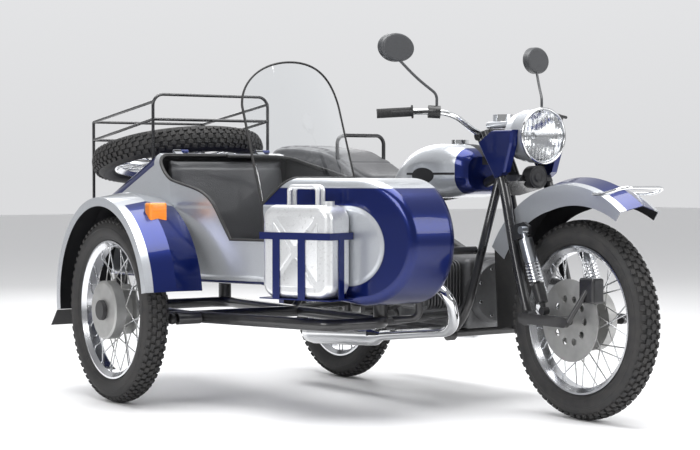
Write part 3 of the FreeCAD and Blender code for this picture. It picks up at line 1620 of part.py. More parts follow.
def fender_lamps():
    """The front and rear lamps on the sidecar mudguard."""
    half = lamp_width / 2
    low = guard_top(lamp_x + lamp_depth / 2, lamp_y) - lamp_height / 2
    front = rounded_box(
        lamp_x - lamp_depth / 2, lamp_x + lamp_depth / 2, -lamp_y - half, -lamp_y + half,
        low, low + lamp_height * 3 / 2, lamp_round)
    rear_z = guard_top(rear_lamp_x, rear_lamp_y)
    foot = Vector(rear_lamp_x, -rear_lamp_y, rear_z - rear_lamp_height / 2)
    rear = rod(foot, foot + upwards * rear_lamp_height, rear_lamp_radius)
    across = (side_guard_outer + body_right) / 2
    half_guard = (side_guard_outer - body_right) / 2
    centre = Vector(sidecar_lead, -across, side_guard_centre_z)
    flank = side_guard_radius - side_guard_crown
    outline = [
        (-half_guard, 0), (-half_guard, flank + seat_gap), (0, side_guard_radius + seat_gap),
        (half_guard, flank + seat_gap), (half_guard, 0),
    ]
    inside = turned(outline, centre, along_y)
    return Part.Compound([top_piece(front.cut(inside)), top_piece(rear.cut(inside))])


def sidecar_mud_flap():
    """The rubber flap behind the sidecar wheel."""
    angle = math.radians(side_guard_end)
    x = sidecar_lead + (side_guard_radius - guard_thickness) * math.cos(angle)
    z = side_guard_centre_z + side_guard_radius * math.sin(angle) - seat_gap
    outline = [
        (x, z), (x + flap_thickness, z),
        (x - side_flap_slope + flap_thickness, side_flap_low), (x - side_flap_slope, side_flap_low),
    ]
    inner = body_right + seat_gap * 2
    outer = side_guard_outer - guard_thickness * 2
    return side_plate(outline, -outer, -inner)


def sidecar_chassis():
    """The sidecar's tube chassis, its four links to the motorcycle and the body mounts."""
    z = chassis_z
    left = -chassis_left_y
    right = -chassis_right_y
    front_left = Vector(chassis_front_x, left, z)
    rear_left = Vector(chassis_rear_x, left, z)
    loop = rounded_loop([
        rear_left, front_left, Vector(chassis_front_x, -chassis_front_right_y, z),
        Vector(chassis_cross_x, right, z), Vector(chassis_rear_x, right, z),
    ], chassis_bend)
    foot = loop.Edges[0].Vertexes[0].Point
    ring_wire = Part.Wire(Part.makeCircle(chassis_tube_radius, foot, loop.Edges[0].tangentAt(loop.Edges[0].FirstParameter)))
    tubes = [loop.makePipeShell([ring_wire], True, False)]
    tubes.append(rod(
        Vector(chassis_cross_x, left, z), Vector(chassis_cross_x, -chassis_end_y, z), chassis_tube_radius))
    pivot_end = Vector(trail_pivot_x, -trail_y + trail_radius + seat_gap, z)
    tubes.append(rod(Vector(trail_pivot_x, right, z), pivot_end, chassis_tube_radius))
    clamp_y = -cradle_spread - frame_tube_radius - seat_gap
    for x in (chassis_front_x - overrun, rear_strut_x):
        start = Vector(x, clamp_y - clamp_width / 2, cradle_z)
        tubes.append(rod(Vector(x, clamp_y, cradle_z), Vector(x, clamp_y - clamp_width, cradle_z), clamp_radius))
        knee = Vector(x, start.y, z + link_rise)
        tubes.append(pipe([start, knee, Vector(x, left, z)], strut_radius, strut_radius))
    down = down_tube_point(front_strut_z)
    upper_front = Vector(down.x, -abs(down.y) - frame_tube_radius - strut_radius - seat_gap, front_strut_z)
    tubes.append(pipe([
        upper_front, Vector(down.x, -front_strut_y, front_strut_z), Vector(down.x, -front_strut_y, z + link_rise),
        Vector(chassis_front_x - chassis_bend, left, z)], strut_radius, strut_radius * 2))
    rail_y = -seat_rail_spread - seat_rail_radius - seat_gap - strut_radius
    upper_rear = Vector(rear_strut_x + 2 * clamp_width, rail_y, seat_rail_z)
    bend = Vector(upper_rear.x, rail_y - 2 * clamp_width, seat_rail_z)
    tubes.append(pipe([upper_rear, bend, Vector(upper_rear.x, left, z)], strut_radius))
    for x, y in ((chassis_front_x - clamp_width * 2, left), (chassis_rear_x, left), (chassis_rear_x, right)):
        foot = Vector(x, y, z)
        mount_top = body_low - seat_gap if x < body_bend_x else nose_floor(x) - seat_gap
        tubes.append(rod(foot, Vector(x, y, mount_top), body_mount_radius))
    tower_foot = Vector(side_shock_top_x, -side_shock_y + side_shock_gap(), z)
    tower_top = Vector(side_shock_top_x, -side_shock_y + side_shock_gap(), side_shock_top_z)
    tubes.append(rod(tower_foot, tower_top, shock_tower_radius))
    tubes.append(rod(Vector(side_shock_top_x, right, z), tower_foot, shock_tower_radius))
    return join(tubes)


def side_shock_gap():
    """How far the shock tower stands inside the sidecar's shock absorber."""
    return shock_radius + shock_tower_radius + seat_gap


def nose_floor(x):
    """Height of the body's underside where it falls towards the nose."""
    low = deck_z - 2 * nose_radius
    return body_low - (x + body_mount_radius - body_bend_x) * (body_low - low) / (nose_x - body_bend_x)


def down_tube_point(z):
    """The place on the right down tube at a height."""
    top = Vector(down_tube_x, -down_tube_spread, backbone_head_z)
    foot = Vector(cradle_front_x, -cradle_spread, cradle_z + cradle_front_rise)
    return foot + (top - foot) * ((z - foot.z) / (top.z - foot.z))


def sidecar_suspension():
    """The sidecar wheel's trailing arm with its axle, and the shock absorber inside the wheel."""
    pivot = Vector(trail_pivot_x, -trail_y, chassis_z)
    hub_face = -sidecar_track + hub_width / 2 + seat_gap
    end = Vector(sidecar_lead, hub_face + trail_radius, tyre_radius)
    pieces = [rod(pivot, end, trail_radius)]
    pieces.append(Part.makeSphere(trail_radius, end))
    pieces.append(Part.makeSphere(trail_radius, pivot))
    outer = Vector(sidecar_lead, -sidecar_track - hub_width / 2 - seat_gap, tyre_radius)
    pieces.append(rod(end, outer, axle_radius))
    pieces.append(rod(outer, outer - along_y * link_thickness, spacer_radius * 2))
    foot = Vector(side_shock_foot_x, -side_shock_y, tyre_radius + trail_radius + shock_eye_radius)
    top = Vector(side_shock_top_x, -side_shock_y, side_shock_top_z)
    pieces.append(shock(top, foot))
    pieces.append(rod(
        Vector(side_shock_foot_x, -side_shock_y, foot.z), Vector(side_shock_foot_x, -trail_y, tyre_radius), shock_eye_radius))
    return join(pieces)


def beside_body(shape):
    """A piece drawn along the sidecar's slanted side, moved to its place there."""
    shape.rotate(Vector(0, 0, 0), upwards, taper_angle)
    shape.translate(Vector(can_rear_x, -side_y(can_rear_x), 0))
    return shape


def jerry_can():
    """The ten-litre fuel can with its double handle and cap."""
    inner = -bracket_thickness - 2 * seat_gap - bracket_gap
    outer = inner - can_thickness
    low = can_shelf_z + bracket_thickness + seat_gap
    block = box(0, can_width, outer, inner, low, low + can_height)
    block = eased(block, can_corner_round, lambda edge: edge.BoundBox.YLength > can_thickness / 2)
    block = eased(block, can_round, lambda edge: edge.BoundBox.YLength < seat_gap)
    pieces = [block]
    middle = (inner + outer) / 2
    top = low + can_height
    start = (can_width - can_handle_length) / 2
    for side in (-1, 1):
        y = middle + side * can_handle_offset / 2
        points = [
            Vector(start, y, top - can_handle_radius), Vector(start, y, top + can_handle_rise),
            Vector(start + can_handle_length, y, top + can_handle_rise),
            Vector(start + can_handle_length, y, top - can_handle_radius),
        ]
        pieces.append(pipe(points, can_handle_radius, can_handle_radius * 2))
    cap_foot = Vector(can_width - can_corner_round, middle, top - can_cap_height / 2)
    pieces.append(rod(cap_foot, cap_foot + upwards * can_cap_height, can_cap_radius))
    return beside_body(join(pieces))


def can_bracket():
    """The painted holder of the can: shelf, back plate, band, and straps on its right and front."""
    inner = -seat_gap - bracket_gap
    can_inner = inner - bracket_thickness - seat_gap
    can_outer = can_inner - can_thickness
    outer = can_outer - seat_gap - band_thickness
    shelf_top = can_shelf_z + bracket_thickness
    end = can_width + seat_gap + band_thickness
    start = -seat_gap - band_thickness
    pieces = [box(start, end, outer, inner, can_shelf_z, shelf_top)]
    pieces.append(box(can_round, can_width - can_round, can_inner + seat_gap, inner + bracket_gap, can_shelf_z, band_z + band_height))
    band = box(start, end, outer, inner, band_z, band_z + band_height)
    room = box(-seat_gap, can_width + seat_gap, can_outer - seat_gap, can_inner + seat_gap, band_z - overrun, band_z + overrun * 2)
    pieces.append(band.cut(room))
    for share in strap_shares:
        middle = share * can_width
        pieces.append(box(
            middle - strap_width / 2, middle + strap_width / 2, outer, outer + band_thickness,
            can_shelf_z, band_z + band_height / 2))
    side_middle = (can_inner + can_outer) / 2
    pieces.append(box(
        end - band_thickness, end, side_middle - strap_width / 2, side_middle + strap_width / 2,
        can_shelf_z, band_z + band_height / 2))
    return beside_body(join(pieces))


def spare_wheel():
    """The spare wheel's rim, hub and spokes."""
    return placed(join([hub(), rim()] + spokes()), spare_centre, spare_axis)


def rack_loop(front_z, rear_z):
    """A rail of the rack, open at its front: along both sides and across the rear."""
    return [
        Vector(rack_front_x, -rack_right, front_z), Vector(rack_rear_x, -rack_right, rear_z),
        Vector(rack_rear_x, -rack_left, rear_z), Vector(rack_front_x, -rack_left, front_z),
    ]


def luggage_rack():
    """The tube rack round the spare wheel, on four legs on the boot lid."""
    hoop = [
        Vector(rack_front_x, -rack_right, rack_low_z), Vector(rack_front_x, -rack_right, rack_hoop_z),
        Vector(rack_front_x, -rack_left, rack_hoop_z), Vector(rack_front_x, -rack_left, rack_low_z),
    ]
    pieces = [
        pipe(hoop, rack_radius, rack_bend),
        rod(hoop[0], hoop[-1], rack_radius),
        pipe(rack_loop(rack_side_z, rack_rear_z), rack_radius, rack_radius),
        pipe(rack_loop(rack_low_z, rack_rear_low_z), rack_radius, rack_radius),
    ]
    for x, high in ((rack_front_x, rack_low_z), (rack_rear_x, rack_rear_z)):
        for y in (-rack_left, -rack_right):
            low = Vector(x, y, deck_line(x) + seat_gap + rack_radius * deck_fall)
            pieces.append(rod(low, Vector(x, y, high), rack_radius))
    return join(pieces)


def build():
    """Every piece by its name, before the origin moves to the base's middle."""
    wheel = join([hub(), rim()] + spokes())
    outer = body_solid(0)
    inner = body_solid(body_wall)
    body_tool = side_outline(-screen_gap).common(plan_outline(-screen_gap))
    return {
        "frame": frame(),
        "engine_block": engine_block(),
        "cylinders": cylinders(),
        "carburettors": carburettors(),
        "exhausts": exhausts(),
        "fuel_tank": fuel_tank(),
        "bench_seat": bench_seat(),
        "seat_grab_handle": seat_grab_handle(),
        "rear_drive": rear_drive(),
        "rear_shocks": rear_shocks(),
        "rear_fender": rear_fender(),
        "tail_lamp": tail_lamp(),
        "side_boxes": side_boxes(),
        "foot_controls": foot_controls(),
        "fork": fork(),
        "fork_covers": fork_covers(),
        "headlight": headlight(),
        "headlight_lens": headlight_lens(),
        "handlebar": handlebar(),
        "hand_controls": hand_controls(),
        "mirrors": mirrors(),
        "front_fender": front_fender(),
        "fender_bumper": fender_bumper(),
        "front_mud_flap": front_mud_flap(),
        "link_arms": link_arms(),
        "front_shocks": front_shocks(),
        "front_tyre": tyre(front_wheel_centre, along_y),
        "front_wheel": placed(join([wheel, brake_disc()]), front_wheel_centre, along_y),
        "rear_tyre": tyre(rear_wheel_centre, along_y),
        "rear_wheel": placed(wheel, rear_wheel_centre, along_y),
        "sidecar_tyre": tyre(side_wheel_centre, -along_y),
        "sidecar_wheel": placed(wheel, side_wheel_centre, -along_y),
        "sidecar_chassis": sidecar_chassis(),
        "sidecar_suspension": sidecar_suspension(),
        "sidecar_body": sidecar_body(outer, inner),
        "sidecar_seat": sidecar_seat(body_wall),
        "windshield": windshield(body_tool),
        "sidecar_fender": sidecar_fender(),
        "fender_lamps": fender_lamps(),
        "sidecar_mud_flap": sidecar_mud_flap(),
        "jerry_can": jerry_can(),
        "can_bracket": can_bracket(),
        "trunk_lid": trunk_lid(outer, inner),
        "spare_tyre": tyre(spare_centre, spare_axis),
        "spare_wheel": placed(wheel, spare_centre, spare_axis),
        "luggage_rack": luggage_rack(),
    }


def base_middle(pieces):
    """The middle of the whole machine's base."""
    whole = FreeCAD.BoundBox()
    for shape in pieces.values():
        whole.add(shape.optimalBoundingBox())
    return Vector(whole.Center.x, whole.Center.y, whole.ZMin)


os.makedirs("parts", exist_ok=True)
pieces = build()
origin = base_middle(pieces)
for name, shape in pieces.items():
    shape.translate(-origin)
    shape.exportStep("parts/" + name + ".step")
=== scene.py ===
# %% [markdown]
# # A sidecar motorcycle, dressed on its CAD frame
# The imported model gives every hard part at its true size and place. This lesson turns it into a
# picture: each carried-over part gets a finish made from nodes, and what a solid can't show, such as
# tyre tread, sewn seats and rubber trims, is modelled on top. Everything is in metres.

import json
import math

import bpy
from mathutils import Matrix, Vector


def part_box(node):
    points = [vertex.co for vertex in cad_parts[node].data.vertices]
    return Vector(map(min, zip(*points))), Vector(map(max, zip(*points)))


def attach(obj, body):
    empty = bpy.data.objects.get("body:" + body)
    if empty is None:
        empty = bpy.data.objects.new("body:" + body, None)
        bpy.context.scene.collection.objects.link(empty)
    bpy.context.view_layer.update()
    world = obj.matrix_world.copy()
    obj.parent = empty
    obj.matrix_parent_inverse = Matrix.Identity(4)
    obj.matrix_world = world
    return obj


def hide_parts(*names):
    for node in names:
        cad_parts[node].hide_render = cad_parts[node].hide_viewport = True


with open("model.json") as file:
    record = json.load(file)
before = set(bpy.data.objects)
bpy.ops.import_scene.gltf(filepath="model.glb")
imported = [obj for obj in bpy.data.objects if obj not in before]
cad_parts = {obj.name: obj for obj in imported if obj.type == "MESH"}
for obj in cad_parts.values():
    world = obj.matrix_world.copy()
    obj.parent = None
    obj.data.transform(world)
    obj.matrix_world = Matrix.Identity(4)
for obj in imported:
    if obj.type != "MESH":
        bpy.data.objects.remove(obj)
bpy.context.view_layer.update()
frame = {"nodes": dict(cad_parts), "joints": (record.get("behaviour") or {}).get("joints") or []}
nodes = frame["nodes"]
print("parts in the frame:", len(nodes))

# %% [markdown]
# ## Places
# A motorcycle is measured from where its rear tyre stands: so many millimetres forwards, to the left
# and up. The rear axle's joint tells where that point lies in the frame, and every place in this file
# is given from there, so nothing is fitted by eye to the model's own origin.

# %% A place in millimetres
joints = {joint["name"]: Vector(joint["pos_m"]) for joint in frame["joints"]}
WHEEL_RADIUS = 344
ground = joints["rear_wheel_spin"] - Vector((0, 0, WHEEL_RADIUS / 1000))


def at(x, y, z):
    """A place in metres from millimetres forwards, to the left and up."""
    return ground + Vector((x, y, z)) / 1000


print("the rear tyre stands at", [round(value, 3) for value in ground])

# %% [markdown]
# ## Working as by hand
# Blender's operators act on whatever is selected, so each step first clears the selection and takes
# one piece. `opened` goes into edit mode with chosen corners, edges or faces selected, `modified` adds
# a modifier and applies it, and `finished` puts the piece's place into its mesh, smooths it and hangs
# it on the body that carries it.


# %% Taking a piece in hand
def take(*pieces):
    """Selects only these pieces and makes the last one active."""
    if bpy.context.object and bpy.context.object.mode != "OBJECT":
        bpy.ops.object.mode_set(mode="OBJECT")
    bpy.ops.object.select_all(action="DESELECT")
    for piece in pieces:
        piece.select_set(True)
        bpy.context.view_layer.objects.active = piece


def started(add, **sizes):
    """A new primitive, with nothing else selected."""
    bpy.ops.object.select_all(action="DESELECT")
    add(**sizes)
    return bpy.context.object


def opened(piece, kind, chosen):
    """Edit mode, with the corners, edges or faces selected that pass a test."""
    take(piece)
    groups = {"VERT": piece.data.vertices, "EDGE": piece.data.edges, "FACE": piece.data.polygons}
    bpy.context.tool_settings.mesh_select_mode = tuple(kind == name for name in groups)
    for name, group in groups.items():
        for part in group:
            part.select = name == kind and bool(chosen(part))
    bpy.ops.object.mode_set(mode="EDIT")


def closed():
    """Back to object mode."""
    bpy.ops.object.mode_set(mode="OBJECT")


def modified(piece, kind, **settings):
    """Adds a modifier with its settings and applies it."""
    modifier = piece.modifiers.new(kind.title(), kind)
    for name, value in settings.items():
        setattr(modifier, name, value)
    take(piece)
    bpy.ops.object.modifier_apply(modifier=modifier.name)


def placed(piece):
    """Puts the object's place, turn and scale into its mesh."""
    take(piece)
    bpy.ops.object.transform_apply(location=True, rotation=True, scale=True)
    return piece


# Edges sharper than so many degrees stay sharp, on crisp, on most and on soft pieces.
CRISP, USUAL, SOFT = 30, 35, 60


def finished(piece, name, body, finish, smooth=USUAL):
    """Names a piece, smooths it, gives it its finish and lets it ride."""
    placed(piece)
    bpy.ops.object.shade_smooth_by_angle(angle=math.radians(smooth))
    piece.name = piece.data.name = name
    piece.data.materials.clear()
    piece.data.materials.append(finish)
    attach(piece, body)
    print(name, "has", len(piece.data.polygons), "faces")


# %% [markdown]
# ## Repeating, turning and borrowing
# What repeats is modelled once and copied, each copy with its own mesh. What has to follow a part's
# surface starts as a copy of that part: its loose triangles are merged first, and then the faces or
# edges that aren't wanted are left out.


# %% Copies and skins
def repeated(piece, places):
    """One piece made of copies of a piece, each moved by a matrix."""
    twins = []
    for place in places:
        twin = bpy.data.objects.new(piece.name, piece.data.copy())
        bpy.context.scene.collection.objects.link(twin)
        twin.data.transform(place)
        twins.append(twin)
    bpy.data.objects.remove(piece)
    take(*twins)
    bpy.ops.object.join()
    return bpy.context.object


def turned_to(axis):
    """The turn that brings the Z axis onto another axis."""
    return Vector((0, 0, 1)).rotation_difference(Vector(axis)).to_matrix().to_4x4()


def borrowed(node, name):
    """A merged copy of a carried-over part's mesh, free to be cut."""
    piece = bpy.data.objects.new(name, nodes[node].data.copy())
    bpy.context.scene.collection.objects.link(piece)
    opened(piece, "VERT", lambda corner: True)
    bpy.ops.mesh.remove_doubles(threshold=0.00002)
    closed()
    return piece


def only_faces(piece, wanted):
    """Keeps the faces that pass a test."""
    opened(piece, "FACE", lambda face: not wanted(face))
    bpy.ops.mesh.delete(type="FACE")
    closed()


def edge_cord(source, name, wanted, radius):
    """A round beading along those sharp edges of a mesh that pass a test."""
    opened(source, "EDGE", lambda edge: False)
    bpy.ops.mesh.edges_select_sharp(sharpness=math.radians(40))
    closed()
    points = source.data.vertices
    kept = {
        edge.index for edge in source.data.edges
        if edge.select and wanted((points[edge.vertices[0]].co + points[edge.vertices[1]].co) / 2)}
    opened(source, "EDGE", lambda edge: edge.index in kept)
    bpy.ops.mesh.duplicate()
    bpy.ops.mesh.separate(type="SELECTED")
    closed()
    beading = next(o for o in bpy.context.selected_objects if o is not source)
    bpy.data.objects.remove(source)
    take(beading)
    bpy.ops.object.convert(target="CURVE")
    beading = bpy.context.object
    beading.data.bevel_depth = radius
    beading.data.bevel_resolution = 2
    beading.data.use_fill_caps = True
    bpy.ops.object.convert(target="MESH")
    beading = bpy.context.object
    beading.name = name
    return beading


# %% [markdown]
# ## Finishes from nodes
# A material is a small sum over the surface: where paint ends, how rough a casting is, how dust lies.
# Written as nodes by hand that sum is hard to read, so a thin class wraps a socket and lets Python's
# own operators add the Math nodes. `Finish` holds one material with its shader, and its `node` method
# adds any other node.


# %% Sums on sockets
class Wire:
    """A socket of a finish; plus, minus, times and so on add Math nodes."""

    def __init__(self, finish, socket):
        self.finish = finish
        self.socket = socket

    def maths(self, operation, *values):
        return self.finish.node("Math", {"operation": operation}, dict(enumerate(values)))

    def __add__(self, other):
        return self.maths("ADD", self, other)

    __radd__ = __add__

    def __sub__(self, other):
        return self.maths("SUBTRACT", self, other)

    def __rsub__(self, other):
        return self.maths("SUBTRACT", other, self)

    def __mul__(self, other):
        return self.maths("MULTIPLY", self, other)

    def __truediv__(self, other):
        return self.maths("DIVIDE", self, other)

    def __pow__(self, other):
        return self.maths("POWER", self, other)

    def __abs__(self):
        return self.maths("ABSOLUTE", self)

    def __or__(self, other):
        return self.maths("MAXIMUM", self, other)

    def ribs(self, pitch):
        """A sine that goes to and fro once in each pitch."""
        return self.maths("SINE", self * (2 * math.pi / pitch))

    def above(self, edge, soft=2):
        """0 below an edge and 1 above it, with a soft step that is so wide."""
        return self.finish.node(
            "MapRange", {"clamp": True},
            {0: self, 1: edge - soft / 2, 2: edge + soft / 2, 3: 0.0, 4: 1.0})

    def below(self, edge, soft=2):
        return 1 - self.above(edge, soft)


class Finish:
    """One material: its shader, and helpers that read where a point lies."""

    def __init__(self, name, colour=(0.5, 0.5, 0.5), rough=0.5, metal=0.0, **fixed):
        self.material = bpy.data.materials.new(name)
        self.material.use_nodes = True
        self.tree = self.material.node_tree
        self.shader = next(node for node in self.tree.nodes if node.type == "BSDF_PRINCIPLED")
        self.fix(**{"Base Color": (*colour, 1), "Roughness": rough, "Metallic": metal})
        self.fix(**{key.replace("_", " "): value for key, value in fixed.items()})

    def fix(self, **values):
        """Sets plain values on the shader's own sockets."""
        for name, value in values.items():
            self.shader.inputs[name].default_value = value

    def feed(self, name, wire):
        """Feeds a socket of the shader."""
        self.tree.links.new(wire.socket, self.shader.inputs[name])

    def node(self, kind, settings=None, inputs=None, out=0):
        """Adds a node with its settings first and then its inputs' values or links."""
        new = self.tree.nodes.new("ShaderNode" + kind)
        for name, value in (settings or {}).items():
            setattr(new, name, value)
        for key, value in (inputs or {}).items():
            if isinstance(value, Wire):
                self.tree.links.new(value.socket, new.inputs[key])
            else:
                new.inputs[key].default_value = value
        return Wire(self, new.outputs[out])

    def where(self, origin=None):
        """The point's place in metres, from the ground point or another origin."""
        place = self.node("TexCoord", out="Object")
        origin = ground if origin is None else origin
        return self.node("VectorMath", {"operation": "SUBTRACT"}, {0: place, 1: tuple(origin)})

    def axes(self):
        """Forwards, left and up from the ground point as three wires, in millimetres."""
        scaled = self.node("VectorMath", {"operation": "SCALE"}, {0: self.where(), 3: 1000})
        return [self.node("SeparateXYZ", None, {0: scaled}, out=axis) for axis in range(3)]

    def noise(self, size, detail=3.0, stretch=(1, 1, 1)):
        """Cloudy noise from 0 to 1 whose spots are so many millimetres across."""
        place = self.where()
        if stretch != (1, 1, 1):
            place = self.node("VectorMath", {"operation": "MULTIPLY"}, {0: place, 1: stretch})
        return self.node("TexNoise", None, {"Vector": place, "Scale": 1000 / size, "Detail": detail})

    def cells(self, size):
        """Distance to the nearest of many scattered points."""
        return self.node("TexVoronoi", None, {"Vector": self.where(), "Scale": 1000 / size})

    def inner_side(self, middle):
        """1 where the surface looks towards a point in the middle, and 0 where it looks away."""
        normal = self.node("NewGeometry", out="Normal")
        outwards = self.node(
            "VectorMath", {"operation": "DOT_PRODUCT"}, {0: normal, 1: self.where(middle)}, out="Value")
        return outwards.below(0, 0.002)

    def blend(self, mask, first, second):
        """The first colour where the mask is 0 and the second where it is 1."""
        inputs = {0: mask}
        for key, colour in ((6, first), (7, second)):
            inputs[key] = colour if isinstance(colour, Wire) else (*colour, 1)
        return self.node("Mix", {"data_type": "RGBA"}, inputs, out=2)

    def bump(self, height, depth):
        """Feeds the normal from a height map; the depth is in millimetres."""
        self.feed("Normal", self.node(
            "Bump", None, {"Height": height, "Distance": depth / 1000, "Strength": 1.0}))


# %% [markdown]
# ## Tube and engine finishes
# The frame tubes are stove enamelled: nearly black, glossy and slightly wavy, duller low down where
# road dust lies. The crankcase is sand cast, so its skin is grainy and mottled; the finned cylinders
# are the same alloy, a little lighter. Metal needs its metallic value high and its detail in roughness
# and bump, because its colour hardly changes.


# %% Enamel and cast alloy
CHROME = (0.78, 0.79, 0.8)


def enamel(name, colour=(0.012, 0.012, 0.014), rough=0.22):
    """Glossy black stove enamel with a veil of dust near the road."""
    finish = Finish(name, colour, rough, Coat_Weight=0.6, Coat_Roughness=0.08)
    height = finish.axes()[2]
    dust = height.below(300, 420) * finish.noise(34).above(0.5, 0.5) * 0.35
    finish.feed("Base Color", finish.blend(dust, colour, (0.10, 0.095, 0.085)))
    finish.feed("Roughness", rough + dust * 0.9 + finish.noise(60) * 0.12)
    finish.bump(finish.noise(11, 2.0), 0.12)
    return finish.material


def casting(name, colour, rough, grain=1.6, depth=0.35):
    """Sand-cast aluminium: grainy, mottled, and darker where grime stays."""
    finish = Finish(name, colour, rough, 0.85)
    mottle = finish.noise(45, 5.0)
    grime = finish.noise(90, 4.0).above(0.56, 0.3) * 0.5
    dark = tuple(value * 0.42 for value in colour)
    light = tuple(min(value * 1.18, 1) for value in colour)
    finish.feed("Base Color", finish.blend(grime, finish.blend(mottle, colour, light), dark))
    finish.feed("Roughness", rough - 0.1 + mottle * 0.22 + grime * 0.2)
    finish.bump(finish.noise(grain, 2.0) + mottle * 0.5, depth)
    return finish.material


def plated(name, colour=CHROME, rough=0.07):
    """Chrome plate over steel, with faint smears and a little dust."""
    finish = Finish(name, colour, rough, 1.0)
    smear = finish.noise(70, 4.0, (1, 1, 2.4)).above(0.5, 0.5)
    finish.feed("Roughness", rough + smear * 0.07)
    finish.feed("Base Color", finish.blend(smear * 0.25, colour, tuple(value * 0.8 for value in colour)))
    return finish.material


black_enamel = enamel("black stove enamel")
cast_case = casting("sand-cast crankcase", (0.17, 0.172, 0.176), 0.48)
fin_casting = casting("cast fins", (0.24, 0.242, 0.246), 0.42, 2.2)
dull_casting = casting("die-cast carburettor", (0.2, 0.202, 0.205), 0.5, 1.2, 0.2)
chrome = plated("chrome plate")

# %% [markdown]
# ## Two paints
# The machine is two-tone: silver and a deep metallic blue. Metallic paint is aluminium flakes in a
# tinted layer under clear varnish. The flakes change the brightness and the normal a little, and the
# varnish is the shader's coat, smooth and sharp above them.


# %% Silver and blue metallic paint
SILVER = (0.50, 0.52, 0.55)
BLUE = (0.004, 0.012, 0.10)
# DARK is the black of the tank's trim and of the dial, and also the painted shade under the mudguards.
DARK = (0.015, 0.015, 0.017)
CAN_GREY = (0.70, 0.71, 0.72)
BRIGHT = (0.9, 0.91, 0.92)
VARNISH = 0.6


def paint(name, colour, metal, rough=0.3):
    """A metallic paint under varnish; returns its finish and flakes, so that masks can be added."""
    finish = Finish(
        name, colour, rough, metal, Coat_Weight=VARNISH, Coat_Roughness=0.035, Specular_IOR_Level=0.25)
    flakes = finish.cells(0.9)
    finish.bump(flakes * 0.5 + finish.noise(30, 1.0), 0.04)
    return finish, flakes


def layered(finish, flakes, base, masks):
    """Colours a paint: the base colour, then each (mask, colour) over it, all with flakes."""
    colour = base
    for mask, over in masks:
        colour = finish.blend(mask, colour, over)
    glitter = 0.82 + flakes * 0.5
    tint = finish.node("CombineXYZ", None, {0: glitter, 1: glitter, 2: glitter})
    under = colour if isinstance(colour, Wire) else (*colour, 1)
    finish.feed("Base Color", finish.node(
        "Mix", {"data_type": "RGBA", "blend_type": "MULTIPLY"}, {0: 1.0, 6: under, 7: tint}, out=2))
    return finish.material


def dulled(finish, mask, metal, rougher):
    """Takes the metal and the varnish away where a mask is 1, and makes the surface rougher."""
    finish.feed("Metallic", metal - mask * metal)
    finish.feed("Roughness", 0.28 + mask * rougher)
    finish.feed("Coat Weight", VARNISH - mask * VARNISH)


blue_finish, blue_flakes = paint("blue metallic paint", BLUE, 0.55, 0.28)
blue_paint = layered(blue_finish, blue_flakes, BLUE, [])

# %% [markdown]
# ## Where one paint ends
# The sidecar body is blue round its nose, with a silver panel pressed into its side that ends in a
# half circle, and a silver deck. The panel's line is a distance: how far a point lies from a level
# bar, less the half circle's radius. The same distance, softened, pushes the panel's rim in with a
# bump. The inside of the shell is told from the outside by which way its surface faces, and it is
# given painted shade: a near-black colour, with no metal and no varnish.

# %% The sidecar body's paint
PANEL_FRONT, PANEL_Z, PANEL_RADIUS = 1222, 599, 137
NOSE_REAR, NOSE_TOP, PANEL_LINE = 716, 797, 3
BODY_METAL = 0.7
body_finish, body_flakes = paint("sidecar body paint", SILVER, BODY_METAL)
x, y, z = body_finish.axes()
ahead = (x - (PANEL_FRONT - PANEL_RADIUS)) | 0
reach = (ahead * ahead + (z - PANEL_Z) * (z - PANEL_Z)) ** 0.5 - PANEL_RADIUS
outside_panel = reach.above(0, PANEL_LINE)
low_band = z.below(PANEL_Z - PANEL_RADIUS, PANEL_LINE)
nose = outside_panel * x.above(NOSE_REAR, PANEL_LINE) * z.below(NOSE_TOP, PANEL_LINE)
# Painted shade: the shell's faces that look into the cockpit are coloured near black.
shaded_inside = body_finish.inner_side(at(700, -700, 640))
body_finish.bump(
    (reach.above(2, 10) - reach.above(-12, 10)) * 0.8 + body_flakes * 0.02, 1.6)
# The near-black colour on the shell's inner faces is painted shade.
body_paint = layered(body_finish, body_flakes, SILVER, [
    (nose | low_band, BLUE), (shaded_inside, (0.028, 0.028, 0.03))])
dulled(body_finish, shaded_inside, BODY_METAL, 0.4)

# %% [markdown]
# The mudguards carry the same two paints: the front one silver with a blue stripe along its crown,
# the sidecar's blue in front with a silver rim. Their undersides are black as painted shade, again by
# facing.


# %% The mudguards, tank and can
def guard_paint(name, centre, stripe):
    """A mudguard's paint, with painted shade on its underside; the stripe is worked out from the three
    distances.
    """
    finish, flakes = paint(name, SILVER, BODY_METAL)
    # Painted shade: the faces that look towards the wheel, its underside, are coloured DARK.
    under = finish.inner_side(centre)
    colour = layered(finish, flakes, SILVER, [
        (stripe(*finish.axes()), BLUE), (under, DARK)])
    dulled(finish, under, BODY_METAL, 0.5)
    return colour


CROWN_STRIPE_HALF, REAR_STRIPE_HALF = 62, 200
SIDE_STRIPE_RIGHT, SIDE_STRIPE_REAR = -1186, 360
front_guard = guard_paint(
    "front mudguard paint", joints["front_wheel_spin"],
    lambda x, y, z: abs(y).below(CROWN_STRIPE_HALF))
rear_guard = guard_paint(
    "rear mudguard paint", joints["rear_wheel_spin"],
    lambda x, y, z: abs(y).below(REAR_STRIPE_HALF))
side_guard = guard_paint(
    "sidecar mudguard paint", joints["sidecar_wheel_spin"] + Vector((0, 0.12, 0)),
    lambda x, y, z: y.above(SIDE_STRIPE_RIGHT) * x.above(SIDE_STRIPE_REAR))

